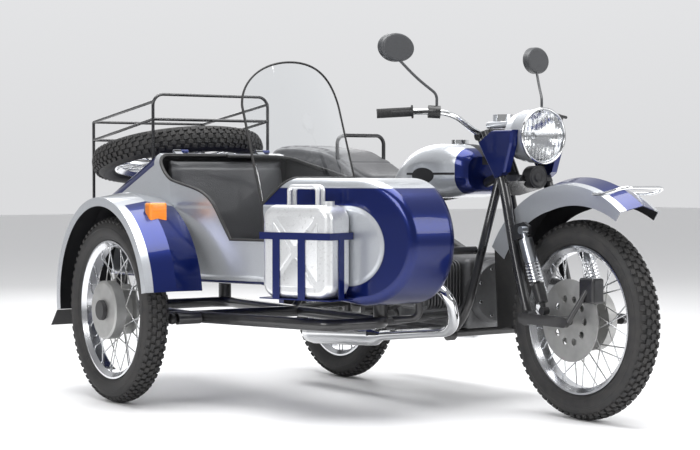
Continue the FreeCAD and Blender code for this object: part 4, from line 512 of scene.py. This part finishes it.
TANK_METAL, TANK_ROUGH = 0.72, 0.3
TANK_BLUE_X, TANK_CAP_Z = 925, 960
STRIP_HALF, STRIP_LOW_Z = 24, 880
SIDE_LINE_Z, SIDE_LINE_HALF, SIDE_LINE_REAR = 847, 4.5, 640
PAD_X, PAD_Z, PAD_HALF_LENGTH, PAD_HALF_HEIGHT = 758, 840, 72, 30
tank_finish, tank_flakes = paint("tank paint", SILVER, TANK_METAL)
x, y, z = tank_finish.axes()
blue_front = x.above(TANK_BLUE_X)
top_strip = abs(y).below(STRIP_HALF) * z.above(STRIP_LOW_Z)
side_line = abs(z - SIDE_LINE_Z).below(SIDE_LINE_HALF) * x.above(SIDE_LINE_REAR) * (1 - blue_front)
pad_x, pad_z = (x - PAD_X) / PAD_HALF_LENGTH, (z - PAD_Z) / PAD_HALF_HEIGHT
knee_pad = (pad_x * pad_x + pad_z * pad_z).below(1, 0.06)
cap = z.above(TANK_CAP_Z, 1)
black = (side_line | knee_pad | top_strip) * (1 - cap)
tank_paint = layered(tank_finish, tank_flakes, SILVER, [
    (blue_front, BLUE), (black, DARK), (cap, CHROME)])
tank_finish.feed("Metallic", TANK_METAL - black * TANK_METAL + cap * (1 - TANK_METAL))
tank_finish.feed("Roughness", TANK_ROUGH + black * 0.3 - cap * 0.18)
tank_finish.feed("Coat Weight", VARNISH - (black | cap) * VARNISH)

can_finish, can_flakes = paint("can paint", CAN_GREY, 0.75, 0.34)
scuffs = can_finish.noise(9, 6.0).above(0.62, 0.08) * can_finish.noise(60).above(0.5, 0.3)
can_paint = layered(can_finish, can_flakes, CAN_GREY, [(scuffs * 0.5, (0.35, 0.35, 0.35))])

# %% [markdown]
# ## Rubber, plastic and vinyl
# Tyre rubber is matt and almost black, with dust on it in patches. Moulded plastic has a fine even
# texture. Seat vinyl is embossed with a leather grain: small rounded cells divided by creases, which
# a Voronoi distance gives directly.


# %% Rubber, plastic and vinyl
def rubber(name, colour=(0.016, 0.016, 0.017), rough=0.62, dust=0.35):
    """Black rubber with dust in patches."""
    finish = Finish(name, colour, rough)
    patches = finish.noise(28, 5.0).above(0.52, 0.4) * dust
    finish.feed("Base Color", finish.blend(patches, colour, (0.075, 0.07, 0.065)))
    finish.feed("Roughness", rough + patches * 0.4)
    finish.bump(finish.noise(3.5, 3.0), 0.25)
    return finish.material


def plastic(name, colour=(0.022, 0.022, 0.024), rough=0.38):
    """Moulded plastic with a fine spark-eroded texture."""
    finish = Finish(name, colour, rough)
    finish.feed("Roughness", rough + finish.noise(55) * 0.16)
    finish.bump(finish.cells(1.3), 0.08)
    return finish.material


def vinyl(name, colour=(0.035, 0.036, 0.04)):
    """Grained seat vinyl, a little polished where it is sat on."""
    finish = Finish(name, colour, 0.5, Sheen_Weight=0.15, Coat_Weight=0.12)
    wear = finish.noise(140, 2.0).above(0.5, 0.5)
    grain = finish.cells(3.0)
    finish.feed("Base Color", finish.blend(wear * 0.5, colour, tuple(value * 1.5 for value in colour)))
    finish.feed("Roughness", 0.56 - wear * 0.14 + grain * 0.08)
    finish.bump(grain + finish.noise(1.2) * 0.4, 0.5)
    return finish.material


tyre_rubber = rubber("tyre rubber")
trim_rubber = rubber("trim rubber", (0.012, 0.012, 0.013), 0.5, 0.15)
black_plastic = plastic("black plastic")
grey_plastic = plastic("mirror shell plastic", (0.05, 0.052, 0.056), 0.33)
seat_vinyl = vinyl("grained vinyl")

# %% [markdown]
# ## Glass and lenses
# The windscreen is clear sheet and the headlight is clear glass: full transmission, hardly any
# roughness. A fluted pattern inside the headlight's glass spreads its light; a sine across the lens
# pushes the normal to and fro as the flutes do.


# %% Clear sheet and glass
def lens(name, colour, rough, flute=0):
    """Clear sheet or glass, with upright flutes if their pitch is given."""
    finish = Finish(name, colour, rough, Transmission_Weight=1.0, IOR=1.45)
    finish.feed("Roughness", rough + finish.noise(80).above(0.6, 0.3) * 0.05)
    if flute:
        finish.bump(finish.axes()[1].ribs(flute), 0.3)
    return finish.material


clear_screen = lens("clear screen sheet", (0.96, 0.975, 0.985), 0.01)
clear_glass = lens("headlight glass", (0.95, 0.96, 0.97), 0.02, 15.0)
mirror_finish = Finish("mirror silvering", BRIGHT, 0.02, 1.0)
mirror_finish.feed("Roughness", 0.015 + mirror_finish.noise(60).above(0.6, 0.3) * 0.03)
mirror_silver = mirror_finish.material

# %% [markdown]
# The lamps on the sidecar's mudguard are one part in the frame: grey housings, amber lenses and a clear
# strip over the front one. What is lens follows from where it lies, so the masks go by height and by
# how far forward a point is. The same way a wheel is one solid of cast hub, steel spokes and polished
# rim, told apart by the distance from its axle.

# %% Lamps and wheels
LAMP_FRONT_X, REAR_LAMP_X, AMBER_TOP_Z, PLATE_TOP_Z = 425, 100, 742, 528
HUB_RADIUS, RIM_INNER_RADIUS = 146, 228
lamp_finish = Finish("mudguard lamps", (0.3, 0.3, 0.31), 0.3, Coat_Weight=0.6)
x, y, z = lamp_finish.axes()
lamp_front = x.above(LAMP_FRONT_X)
rear_lamp = x.below(REAR_LAMP_X)
amber = lamp_front * z.below(AMBER_TOP_Z) | rear_lamp
lamp_finish.feed("Base Color", lamp_finish.blend(
    amber, lamp_finish.blend(lamp_front, (0.16, 0.16, 0.17), (0.72, 0.74, 0.76)), (0.95, 0.26, 0.01)))
lamp_finish.feed("Roughness", 0.32 - lamp_front * 0.2 + lamp_finish.noise(20) * 0.08)
lamp_finish.bump(z.ribs(5) * (lamp_front | rear_lamp), 0.5)
lamp_paint = lamp_finish.material

tail_finish = Finish("tail lamp", (0.5, 0.01, 0.01), 0.15, Coat_Weight=0.8)
x, y, z = tail_finish.axes()
plate = z.below(PLATE_TOP_Z)
tail_finish.feed("Base Color", tail_finish.blend(plate, (0.5, 0.008, 0.008), (0.72, 0.72, 0.7)))
tail_finish.feed("Roughness", 0.16 + plate * 0.3)
tail_finish.bump(y.ribs(7) * (1 - plate), 0.6)
tail_paint = tail_finish.material


def wheel_metal(name, centre, axis):
    """A wheel's metals by the distance from its axle."""
    finish = Finish(name, (0.6, 0.61, 0.62), 0.25, 1.0)
    place = finish.where(centre)
    along, length = (
        finish.node("VectorMath", {"operation": operation}, {0: place, 1: axis}, out="Value") * 1000
        for operation in ("DOT_PRODUCT", "LENGTH"))
    radius = (length * length - along * along) ** 0.5
    hub = radius.below(HUB_RADIUS)
    rim = radius.above(RIM_INNER_RADIUS)
    grain = finish.noise(2.2, 3.0)
    mottle = finish.noise(40, 4.0)
    finish.feed("Base Color", finish.blend(
        hub, finish.blend(rim, (0.55, 0.56, 0.57), (0.66, 0.67, 0.69)),
        finish.blend(mottle, (0.32, 0.32, 0.315), (0.54, 0.54, 0.53))))
    finish.feed("Roughness", 0.2 + hub * 0.26 - rim * 0.08 + mottle * 0.12)
    finish.bump(grain * hub, 0.35)
    return finish.material


SPARE_TILT = math.radians(12.5)
spare_axis = Vector((-math.sin(SPARE_TILT), 0, math.cos(SPARE_TILT)))
low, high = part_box("spare_wheel")
spare_centre = (Vector(low) + Vector(high)) / 2
wheels = {
    which: (joints[which + "_wheel_spin"], Vector((0, 1, 0)), which + "_roller")
    for which in ("front", "rear", "sidecar")}
wheels["spare"] = (spare_centre, spare_axis, "boot_lid")

# %% [markdown]
# The headlight's bucket is painted outside and silvered inside, and the instrument on its top has a
# black face. The grips are ribbed rubber on the same solid as the switch housings, so the ribs are a
# sine along the bar.

# %% Headlight, grips and shock absorbers
HEADLIGHT_Z, DIAL_Z, GRIP_START = 981, 1076, 318
BUCKET_METAL = 0.75
bucket_finish, bucket_flakes = paint("headlight paint", SILVER, BUCKET_METAL)
dial = bucket_finish.axes()[2].above(DIAL_Z, 1)
mirrored = bucket_finish.inner_side(at(1240, 0, HEADLIGHT_Z))
bucket_paint = layered(bucket_finish, bucket_flakes, SILVER, [(mirrored, BRIGHT), (dial, DARK)])
bucket_finish.feed("Roughness", 0.3 - mirrored * 0.22)
bucket_finish.feed("Metallic", BUCKET_METAL + mirrored * (1 - BUCKET_METAL) - dial * BUCKET_METAL)

grip_finish = Finish("grips and switches", (0.02, 0.02, 0.021), 0.5)
sideways = grip_finish.axes()[1]
grip_part = abs(sideways).above(GRIP_START)
grip_finish.feed("Roughness", 0.36 + grip_part * 0.26)
grip_finish.bump(sideways.ribs(4.5) * grip_part, 0.9)
grip_rubber = grip_finish.material


def damper(name, top_z, low_z):
    """A shock absorber: bright cover on top, chrome coil in the middle, black body below."""
    finish = Finish(name, (0.6, 0.61, 0.62), 0.16, 1.0)
    height = finish.axes()[2]
    cover = height.above(top_z)
    body = height.below(low_z)
    finish.feed("Base Color", finish.blend(
        body, finish.blend(cover, (0.66, 0.67, 0.69), (0.44, 0.46, 0.49)), (0.014, 0.014, 0.015)))
    finish.feed("Metallic", 1 - body * 0.9)
    finish.feed("Roughness", 0.12 + cover * 0.14 + body * 0.2 + finish.noise(30) * 0.06)
    return finish.material


# %% [markdown]
# ## Dressing the frame
# A carried-over part keeps its mesh and gets its finish in its material slots. One table says which
# finish goes where, so a part that was forgotten is easy to see.

# %% Finishes of the carried-over parts
dress = {
    "frame": black_enamel, "engine_block": cast_case, "cylinders": fin_casting,
    "carburettors": dull_casting, "exhausts": chrome, "fuel_tank": tank_paint,
    "bench_seat": seat_vinyl, "seat_grab_handle": black_enamel, "rear_drive": black_enamel,
    "rear_shocks": damper("rear shock absorber", 600, 505), "rear_fender": rear_guard,
    "tail_lamp": tail_paint, "side_boxes": black_plastic, "foot_controls": black_enamel,
    "fork": black_enamel, "fork_covers": blue_paint, "headlight": bucket_paint,
    "headlight_lens": clear_glass, "handlebar": chrome, "hand_controls": grip_rubber,
    "mirrors": grey_plastic, "front_fender": front_guard, "fender_bumper": chrome,
    "front_mud_flap": trim_rubber, "link_arms": black_enamel,
    "front_shocks": damper("front shock absorber", 540, 475), "sidecar_chassis": black_enamel,
    "sidecar_suspension": damper("sidecar suspension", 545, 470), "sidecar_body": body_paint,
    "sidecar_seat": seat_vinyl, "windshield": clear_screen, "sidecar_fender": side_guard,
    "fender_lamps": lamp_paint, "sidecar_mud_flap": trim_rubber, "jerry_can": can_paint,
    "can_bracket": blue_paint, "trunk_lid": blue_paint, "luggage_rack": black_enamel,
}
for which, (centre, axis, body) in wheels.items():
    dress[which + "_tyre"] = tyre_rubber
    dress[which + "_wheel"] = wheel_metal(which + " wheel metal", centre, axis)
for name, finish in dress.items():
    nodes[name].data.materials.clear()
    nodes[name].data.materials.append(finish)
bare = sorted(set(nodes) - set(dress))
print("parts without a finish:", bare)

# %% [markdown]
# ## Tyres
# A road tyre is a ring with a rounded section, a tread of rubber blocks between grooves, and a thin
# raised line on each side. Blender's torus is the ring; its width is scaled, its sidewall gets an
# inset ridge, and one bevelled block is copied round the crown in five staggered rows. It is made
# once, about its own Z axis, and copied to the four wheels.

# %% Carcass and tread
CROWN, BEAD, HALF_WIDTH = 337, 250, 50
BLOCK_DEPTH = 0.011
half_high = (CROWN - BEAD) / 2
carcass = started(
    bpy.ops.mesh.primitive_torus_add, major_segments=96, minor_segments=30,
    major_radius=(CROWN + BEAD) / 2000, minor_radius=half_high / 1000)
carcass.scale = (1, 1, HALF_WIDTH / half_high)
placed(carcass)


def round_radius(point):
    """Distance of a point from the tyre's own axis, in millimetres."""
    return math.hypot(point[0], point[1]) * 1000


for low_radius, high_radius in ((262, 274), (302, 310)):
    opened(carcass, "FACE", lambda face: low_radius < round_radius(face.center) < high_radius)
    bpy.ops.mesh.inset(thickness=0.0015, use_even_offset=True)
    bpy.ops.mesh.inset(thickness=0.0008, depth=0.0012)
    closed()

# Each row: its distance from the crown, a block's width and length, and its shift in blocks.
ROWS = [(0, 17, 21, 0.0), (17.5, 15, 20, 0.5), (33, 15, 19, 0.0)]
BLOCKS, BLOCK_TURN = 66, math.radians(9)
rows = []
for across, width, length, shift in ROWS:
    for side in (1, -1) if across else (1,):
        lean = math.asin(across / HALF_WIDTH) * 0.72 * side
        drop = half_high * (1 - math.cos(math.asin(across / (HALF_WIDTH + 2))))
        block = started(bpy.ops.mesh.primitive_cube_add, size=1)
        block.dimensions = (BLOCK_DEPTH, length / 1000, width / 1000)
        placed(block)
        opened(block, "EDGE", lambda edge: True)
        bpy.ops.mesh.bevel(offset=0.0014, segments=1)
        closed()
        seat = Matrix.Translation(
            ((WHEEL_RADIUS - drop) / 1000 - BLOCK_DEPTH / 2, 0, across * side / 1000))
        tilt = Matrix.Rotation(-lean, 4, "Y") @ Matrix.Rotation(BLOCK_TURN * side, 4, "X")
        rows.append(repeated(block, [
            Matrix.Rotation(2 * math.pi * (count + shift) / BLOCKS, 4, "Z") @ seat @ tilt
            for count in range(BLOCKS)]))
take(*rows, carcass)
bpy.ops.object.join()
master_tyre = bpy.context.object
print("one tyre has", len(master_tyre.data.polygons), "faces")

for which, (centre, axis, body) in wheels.items():
    tyre = bpy.data.objects.new(which, master_tyre.data.copy())
    bpy.context.scene.collection.objects.link(tyre)
    tyre.data.transform(Matrix.Translation(centre) @ turned_to(axis))
    finished(tyre, which + "_road_tyre", body, tyre_rubber)
    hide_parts(which + "_tyre")
bpy.data.objects.remove(master_tyre)

# %% [markdown]
# ## Seats
# Both seats are foam under sewn vinyl. Their solids have the right size but hard, flat sides. So each
# is borrowed, shrunk a little, remeshed evenly and blown up by a short cloth simulation with inner
# pressure and no gravity; how far a point may move is capped. Then the sewn seams are pressed in, and
# one subdivision smooths the result.


# %% Swelling a pad
def pad(node, voxel, shrink, pressure, cap, held):
    """A swollen copy of a solid; held says which points stay where they are."""
    piece = borrowed(node, node + "_pad")
    modified(piece, "REMESH", mode="VOXEL", voxel_size=voxel, adaptivity=0)
    modified(piece, "DISPLACE", strength=-shrink, mid_level=0)
    modified(piece, "SMOOTH", factor=0.5, iterations=4)
    start = [corner.co.copy() for corner in piece.data.vertices]
    group = piece.vertex_groups.new(name="held")
    group.add([corner.index for corner in piece.data.vertices if held(corner.co)], 1.0, "REPLACE")
    cloth = piece.modifiers.new("Cloth", "CLOTH")
    settings = cloth.settings
    settings.use_pressure = True
    settings.uniform_pressure_force = pressure
    settings.effector_weights.gravity = 0
    settings.vertex_group_mass = "held"
    settings.quality = 4
    settings.tension_stiffness = settings.compression_stiffness = 12
    for step in range(1, 21):
        bpy.context.scene.frame_set(step)
    take(piece)
    bpy.ops.object.modifier_apply(modifier=cloth.name)
    bpy.context.scene.frame_set(1)
    for corner, origin in zip(piece.data.vertices, start):
        move = corner.co - origin
        if move.length > cap:
            corner.co = origin + move.normalized() * cap
    piece.vertex_groups.clear()
    return piece


def pressed(piece, seams, width, depth):
    """Presses sewn seams in: each seam gives a point's distance from its line, in metres."""
    moves = []
    for corner in piece.data.vertices:
        near = min(abs(seam(corner.co)) for seam in seams)
        if near < 3 * width:
            moves.append((corner, corner.normal * (-depth * math.exp(-(near / width) ** 2))))
    for corner, move in moves:
        corner.co += move


# %% [markdown]
# The bench is stepped: a low front part and a raised rear part. The photo shows a plain cover with a
# seam along each upper edge and one across the step.

# %% The bench seat
STEP_X, SIDE_SEAM, BENCH_HELD_Z = 196, 0.112, 784
bench = pad(
    "bench_seat", voxel=0.006, shrink=0.004, pressure=3, cap=0.006,
    held=lambda co: co.z < at(0, 0, BENCH_HELD_Z).z)
seams = [lambda co: abs(co.y - ground.y) - SIDE_SEAM, lambda co: co.x - at(STEP_X, 0, 0).x]
pressed(bench, seams, width=0.004, depth=0.0035)
modified(bench, "SUBSURF", levels=1, render_levels=1)
finished(bench, "bench_seat_cover", "machine", seat_vinyl, SOFT)
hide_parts("bench_seat")

# %% [markdown]
# The sidecar's seat is one wide cushion with a tall plain back. Its cover has one seam along the
# back's upper edge and one across the cushion.

# %% The sidecar seat
SEAT_HELD_Z, BACK_SEAM_Z, CUSHION_SEAM_X = 466, 872, 596
seat = pad(
    "sidecar_seat", voxel=0.0075, shrink=0.006, pressure=3, cap=0.009,
    held=lambda co: co.z < at(0, 0, SEAT_HELD_Z).z)
seams = [lambda co: co.z - at(0, 0, BACK_SEAM_Z).z, lambda co: co.x - at(CUSHION_SEAM_X, 0, 0).x]
pressed(seat, seams, width=0.005, depth=0.004)
modified(seat, "SUBSURF", levels=1, render_levels=1)
finished(seat, "sidecar_seat_cover", "machine", seat_vinyl, SOFT)
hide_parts("sidecar_seat")

# %% [markdown]
# ## Rubber edges
# The windscreen has a rubber strip over its rounded top and another where it meets the deck, and the
# cockpit's cut edge is covered by a beading, because bare sheet would cut. Each follows an edge that
# the solid already has, so the edge itself is lifted out of a borrowed copy and given a round section.

# %% Windscreen and cockpit beadings
STRIP_LOW, BASE_TOP = at(0, 0, 870).z, at(0, 0, 842).z
BODY_TAPER = math.radians(21.5)
BODY_RIGHT, TAPER_START, SKIN = 990, 340, 6
CUT_REAR, CUT_FRONT, ENTRY_LOW, RIM_LOW, COCKPIT_LEFT = 240, 852, 604, 800, -420


def trim(node, name, wanted, radius):
    """A rubber strip along those sharp edges of a part that pass a test."""
    strip = edge_cord(borrowed(node, "edges"), name, wanted, radius)
    finished(strip, name, "machine", trim_rubber, SOFT)


def on_cut_edge(co):
    """Whether an edge of the body lies on the cockpit's or the entry's outline."""
    x, y, z = (co - ground) * 1000
    side = BODY_RIGHT - max(x - TAPER_START, 0) * math.tan(BODY_TAPER) - SKIN
    entry = -y > side and z > ENTRY_LOW
    rim = -side < y < COCKPIT_LEFT and z > RIM_LOW
    return CUT_REAR < x < CUT_FRONT and (entry or rim)


trim("windshield", "screen_edge_strip", lambda co: co.z > STRIP_LOW, 0.0035)
trim("windshield", "screen_base_strip", lambda co: co.z < BASE_TOP, 0.005)
trim("sidecar_body", "cockpit_beading", on_cut_edge, 0.0045)

# %% [markdown]
# ## Mirror glass and headlight
# Each mirror's glass is the flat rear face of its head, a little smaller and set on it. The headlight
# gets a turned chrome ring round its lens and a bulb behind it, and the horn hangs below.


# %% Mirror glass
LARGE_FACE = 0.00002


def looks_back(face):
    """A large upright face of a mirror head that looks to the rear."""
    return face.normal.x < -0.5 and abs(face.normal.z) < 0.05 and face.area > LARGE_FACE


glass = borrowed("mirrors", "mirror_glass")
only_faces(glass, looks_back)
opened(glass, "FACE", lambda face: True)
bpy.ops.mesh.dissolve_limited(angle_limit=math.radians(2))
bpy.ops.mesh.inset(thickness=0.006)
bpy.ops.mesh.select_all(action="INVERT")
bpy.ops.mesh.delete(type="FACE")
closed()
modified(glass, "SOLIDIFY", thickness=0.0012, offset=1)
finished(glass, "mirror_glass", "steering", mirror_silver, CRISP)

# %% Headlight ring, bulb and horn
FORWARDS = (0, math.pi / 2, 0)
ring = started(
    bpy.ops.mesh.primitive_torus_add, major_segments=72, minor_segments=16, major_radius=0.0965,
    minor_radius=0.005, location=at(1284, 0, HEADLIGHT_Z), rotation=FORWARDS)
ring.scale = (1, 1, 1.4)
finished(ring, "headlight_ring", "steering", chrome)

bulb = started(
    bpy.ops.mesh.primitive_uv_sphere_add, segments=24, ring_count=14, radius=0.013,
    location=at(1222, 0, HEADLIGHT_Z))
bulb.scale = (1.5, 1, 1)
finished(bulb, "headlight_bulb", "steering", clear_glass, SOFT)

horn = started(
    bpy.ops.mesh.primitive_cylinder_add, vertices=48, radius=0.041, depth=0.046,
    location=at(1212, 20, 834), rotation=FORWARDS)
placed(horn)
opened(horn, "FACE", lambda face: face.normal.x > 0.9)
for inward, deep in ((0.004, -0.003), (0.006, 0.003), (0.012, -0.004), (0.006, 0.004)):
    bpy.ops.mesh.inset(thickness=inward, depth=deep)
closed()
modified(horn, "BEVEL", width=0.0012, segments=2)
finished(horn, "horn", "steering", black_plastic)

# %% [markdown]
# ## Bolt heads
# Hexagon heads hold the engine's front cover and the rocker covers. One head is modelled, turned to
# an axis and copied to a list of places.


# %% Bolts
def bolts(name, places, axis):
    """Hexagon heads on the machine at a list of places, all looking along one axis."""
    head = started(bpy.ops.mesh.primitive_cylinder_add, vertices=6, radius=0.0065, depth=0.006)
    opened(head, "EDGE", lambda edge: True)
    bpy.ops.mesh.bevel(offset=0.0007, segments=1)
    closed()
    heads = repeated(head, [Matrix.Translation(place) @ turned_to(axis) for place in places])
    finished(heads, name, "machine", chrome, CRISP)


COVER_BOLTS, COVER_RADIUS, COVER_X, COVER_Z = 8, 92, 1035, 414
turns = [2 * math.pi * (count + 0.5) / COVER_BOLTS for count in range(COVER_BOLTS)]
bolts("engine_cover_bolts", [
    at(COVER_X, COVER_RADIUS * math.sin(turn), COVER_Z + COVER_RADIUS * math.cos(turn))
    for turn in turns], (1, 0, 0))
case_low, case_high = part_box("cylinders")
for side, reach, outwards in (("right", case_low[1], -1), ("left", case_high[1], 1)):
    places = [Vector((at(x, 0, 0).x, reach, at(0, 0, z).z)) for x in (834, 926) for z in (402, 478)]
    bolts("rocker_bolts_" + side, places, (0, outwards, 0))

# %% Hub cap of the sidecar wheel
cap = started(
    bpy.ops.mesh.primitive_cylinder_add, vertices=48, radius=0.037, depth=0.013,
    location=joints["sidecar_wheel_spin"] + Vector((0, -0.0665, 0)), rotation=(math.pi / 2, 0, 0))
placed(cap)
opened(cap, "FACE", lambda face: face.normal.y < -0.9)
bpy.ops.mesh.inset(thickness=0.004, depth=0.001)
bpy.ops.mesh.inset(thickness=0.014, depth=-0.002)
closed()
modified(cap, "BEVEL", width=0.001, segments=2)
finished(cap, "sidecar_hub_cap", "sidecar_roller", black_plastic)

# %% [markdown]
# ## The can's pressed sides
# A fuel can's walls are stiffened by a pressed cross. The fields between its arms stand a little
# proud: a plane is poked into four triangles, each is inset, and what is left between them is the
# cross. The fields are thickened, bevelled, and copied to the inner side.

# %% Pressed fields on the can
CAN_FACE_WIDTH, CAN_FACE_HEIGHT, CAN_DEPTH, CAN_HEIGHT = 0.206, 0.256, 0.128, 0.318
low, high = (Vector(corner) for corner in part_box("jerry_can"))
fields = started(bpy.ops.mesh.primitive_plane_add, size=1, rotation=(math.pi / 2, 0, 0))
fields.dimensions = (CAN_FACE_WIDTH, CAN_FACE_HEIGHT, 0)
placed(fields)
opened(fields, "FACE", lambda face: True)
bpy.ops.mesh.poke()
bpy.ops.mesh.inset(thickness=0.008, use_individual=True)
bpy.ops.mesh.select_all(action="INVERT")
bpy.ops.mesh.delete(type="FACE")
bpy.ops.mesh.select_all(action="SELECT")
bpy.ops.mesh.bevel(affect="VERTICES", offset=0.014, segments=4)
closed()
modified(fields, "SOLIDIFY", thickness=0.0032, offset=0)
modified(fields, "BEVEL", width=0.0014, segments=3)
middle = Vector(((low.x + high.x) / 2, (low.y + high.y) / 2, low.z + CAN_HEIGHT / 2))
fields = repeated(fields, [
    Matrix.Translation(middle) @ Matrix.Rotation(BODY_TAPER + turn, 4, "Z")
    @ Matrix.Translation((0, -CAN_DEPTH / 2, 0)) for turn in (0, math.pi)])
finished(fields, "can_pressed_fields", "machine", can_paint, CRISP)

# %% [markdown]
# ## Floor, light and camera
# A pale floor, a large soft light overhead, weaker ones from both sides and from behind, and a bright
# sky. The camera stands where the photographer stood: 5.8 m ahead of the rear wheel and 3.8 m to the
# right, 0.83 m up, with a long lens.

# %% Stage
floor = started(bpy.ops.mesh.primitive_plane_add, size=60, location=(0, 0, 0))
opened(floor, "FACE", lambda face: True)
bpy.ops.mesh.subdivide(number_cuts=4)
closed()
floor.name = "studio_floor"
pale = Finish("pale floor", (0.95, 0.95, 0.955), 0.6)
pale.feed("Roughness", 0.5 + pale.noise(500) * 0.1)
floor.data.materials.append(pale.material)


def lamp(name, place, target, size, watts):
    """A soft square light that looks at a point."""
    turn = (Vector(target) - Vector(place)).to_track_quat("-Z", "Y").to_euler()
    bpy.ops.object.light_add(type="AREA", location=place, rotation=turn)
    light = bpy.context.object
    light.name = name
    light.data.energy = watts
    light.data.size = size


lamp("overhead", (0.2, -0.2, 4.6), (0, 0, 0), 4.0, 300)
lamp("left_of_camera", (2.0, -5.5, 3.4), (0, 0, 0.5), 2.5, 150)
lamp("right_of_camera", (5.0, 2.5, 3.0), (0, 0, 0.5), 2.5, 90)
lamp("behind", (-5.0, 2.0, 3.2), (0, 0, 0.5), 3.0, 60)

# %% [markdown]
# The sky is bright on the machine's far left side, where it is the picture's backdrop, and dimmer
# behind the photographer, so that dark paint stays dark. Near the horizon it fades a little. It goes by
# compass direction, not by the camera.

# %% Sky
world = bpy.data.worlds.new("studio")
bpy.context.scene.world = world
world.use_nodes = True
sky = world.node_tree
BRIGHT_SIDE = (-0.55, 0.83, 0)


def sky_range(*ends):
    """A node that maps from one low and high value to another."""
    node = sky.nodes.new("ShaderNodeMapRange")
    for socket, value in enumerate(ends, 1):
        node.inputs[socket].default_value = value
    return node


background = sky.nodes["Background"]
background.inputs[0].default_value = (0.96, 0.965, 0.98, 1)
direction = sky.nodes.new("ShaderNodeTexCoord")
far_side = sky.nodes.new("ShaderNodeVectorMath")
far_side.operation = "DOT_PRODUCT"
far_side.inputs[1].default_value = BRIGHT_SIDE
level = sky_range(-0.3, 0.75, 0.34, 0.86)
split = sky.nodes.new("ShaderNodeSeparateXYZ")
haze = sky_range(0, 0.2, 0.86, 1)
product = sky.nodes.new("ShaderNodeMath")
product.operation = "MULTIPLY"
sky.links.new(direction.outputs["Generated"], far_side.inputs[0])
sky.links.new(direction.outputs["Generated"], split.inputs[0])
sky.links.new(far_side.outputs["Value"], level.inputs[0])
sky.links.new(split.outputs["Z"], haze.inputs[0])
sky.links.new(level.outputs[0], product.inputs[0])
sky.links.new(haze.outputs[0], product.inputs[1])
sky.links.new(product.outputs[0], background.inputs[1])

# %% Camera
YAW, PITCH = math.radians(33.59), math.radians(1.63)
PICTURE_WIDTH, FOCAL_LENGTH, SENSOR = 700, 1650, 36
line_of_sight = Vector((
    -math.cos(YAW) * math.cos(PITCH), math.sin(YAW) * math.cos(PITCH), -math.sin(PITCH)))
bpy.ops.object.camera_add(
    location=at(5774, -3804, 831), rotation=line_of_sight.to_track_quat("-Z", "Y").to_euler())
camera = bpy.context.object
camera.data.sensor_width = SENSOR
camera.data.lens = FOCAL_LENGTH / PICTURE_WIDTH * SENSOR
bpy.context.scene.camera = camera
bpy.context.scene.view_settings.view_transform = "Standard"
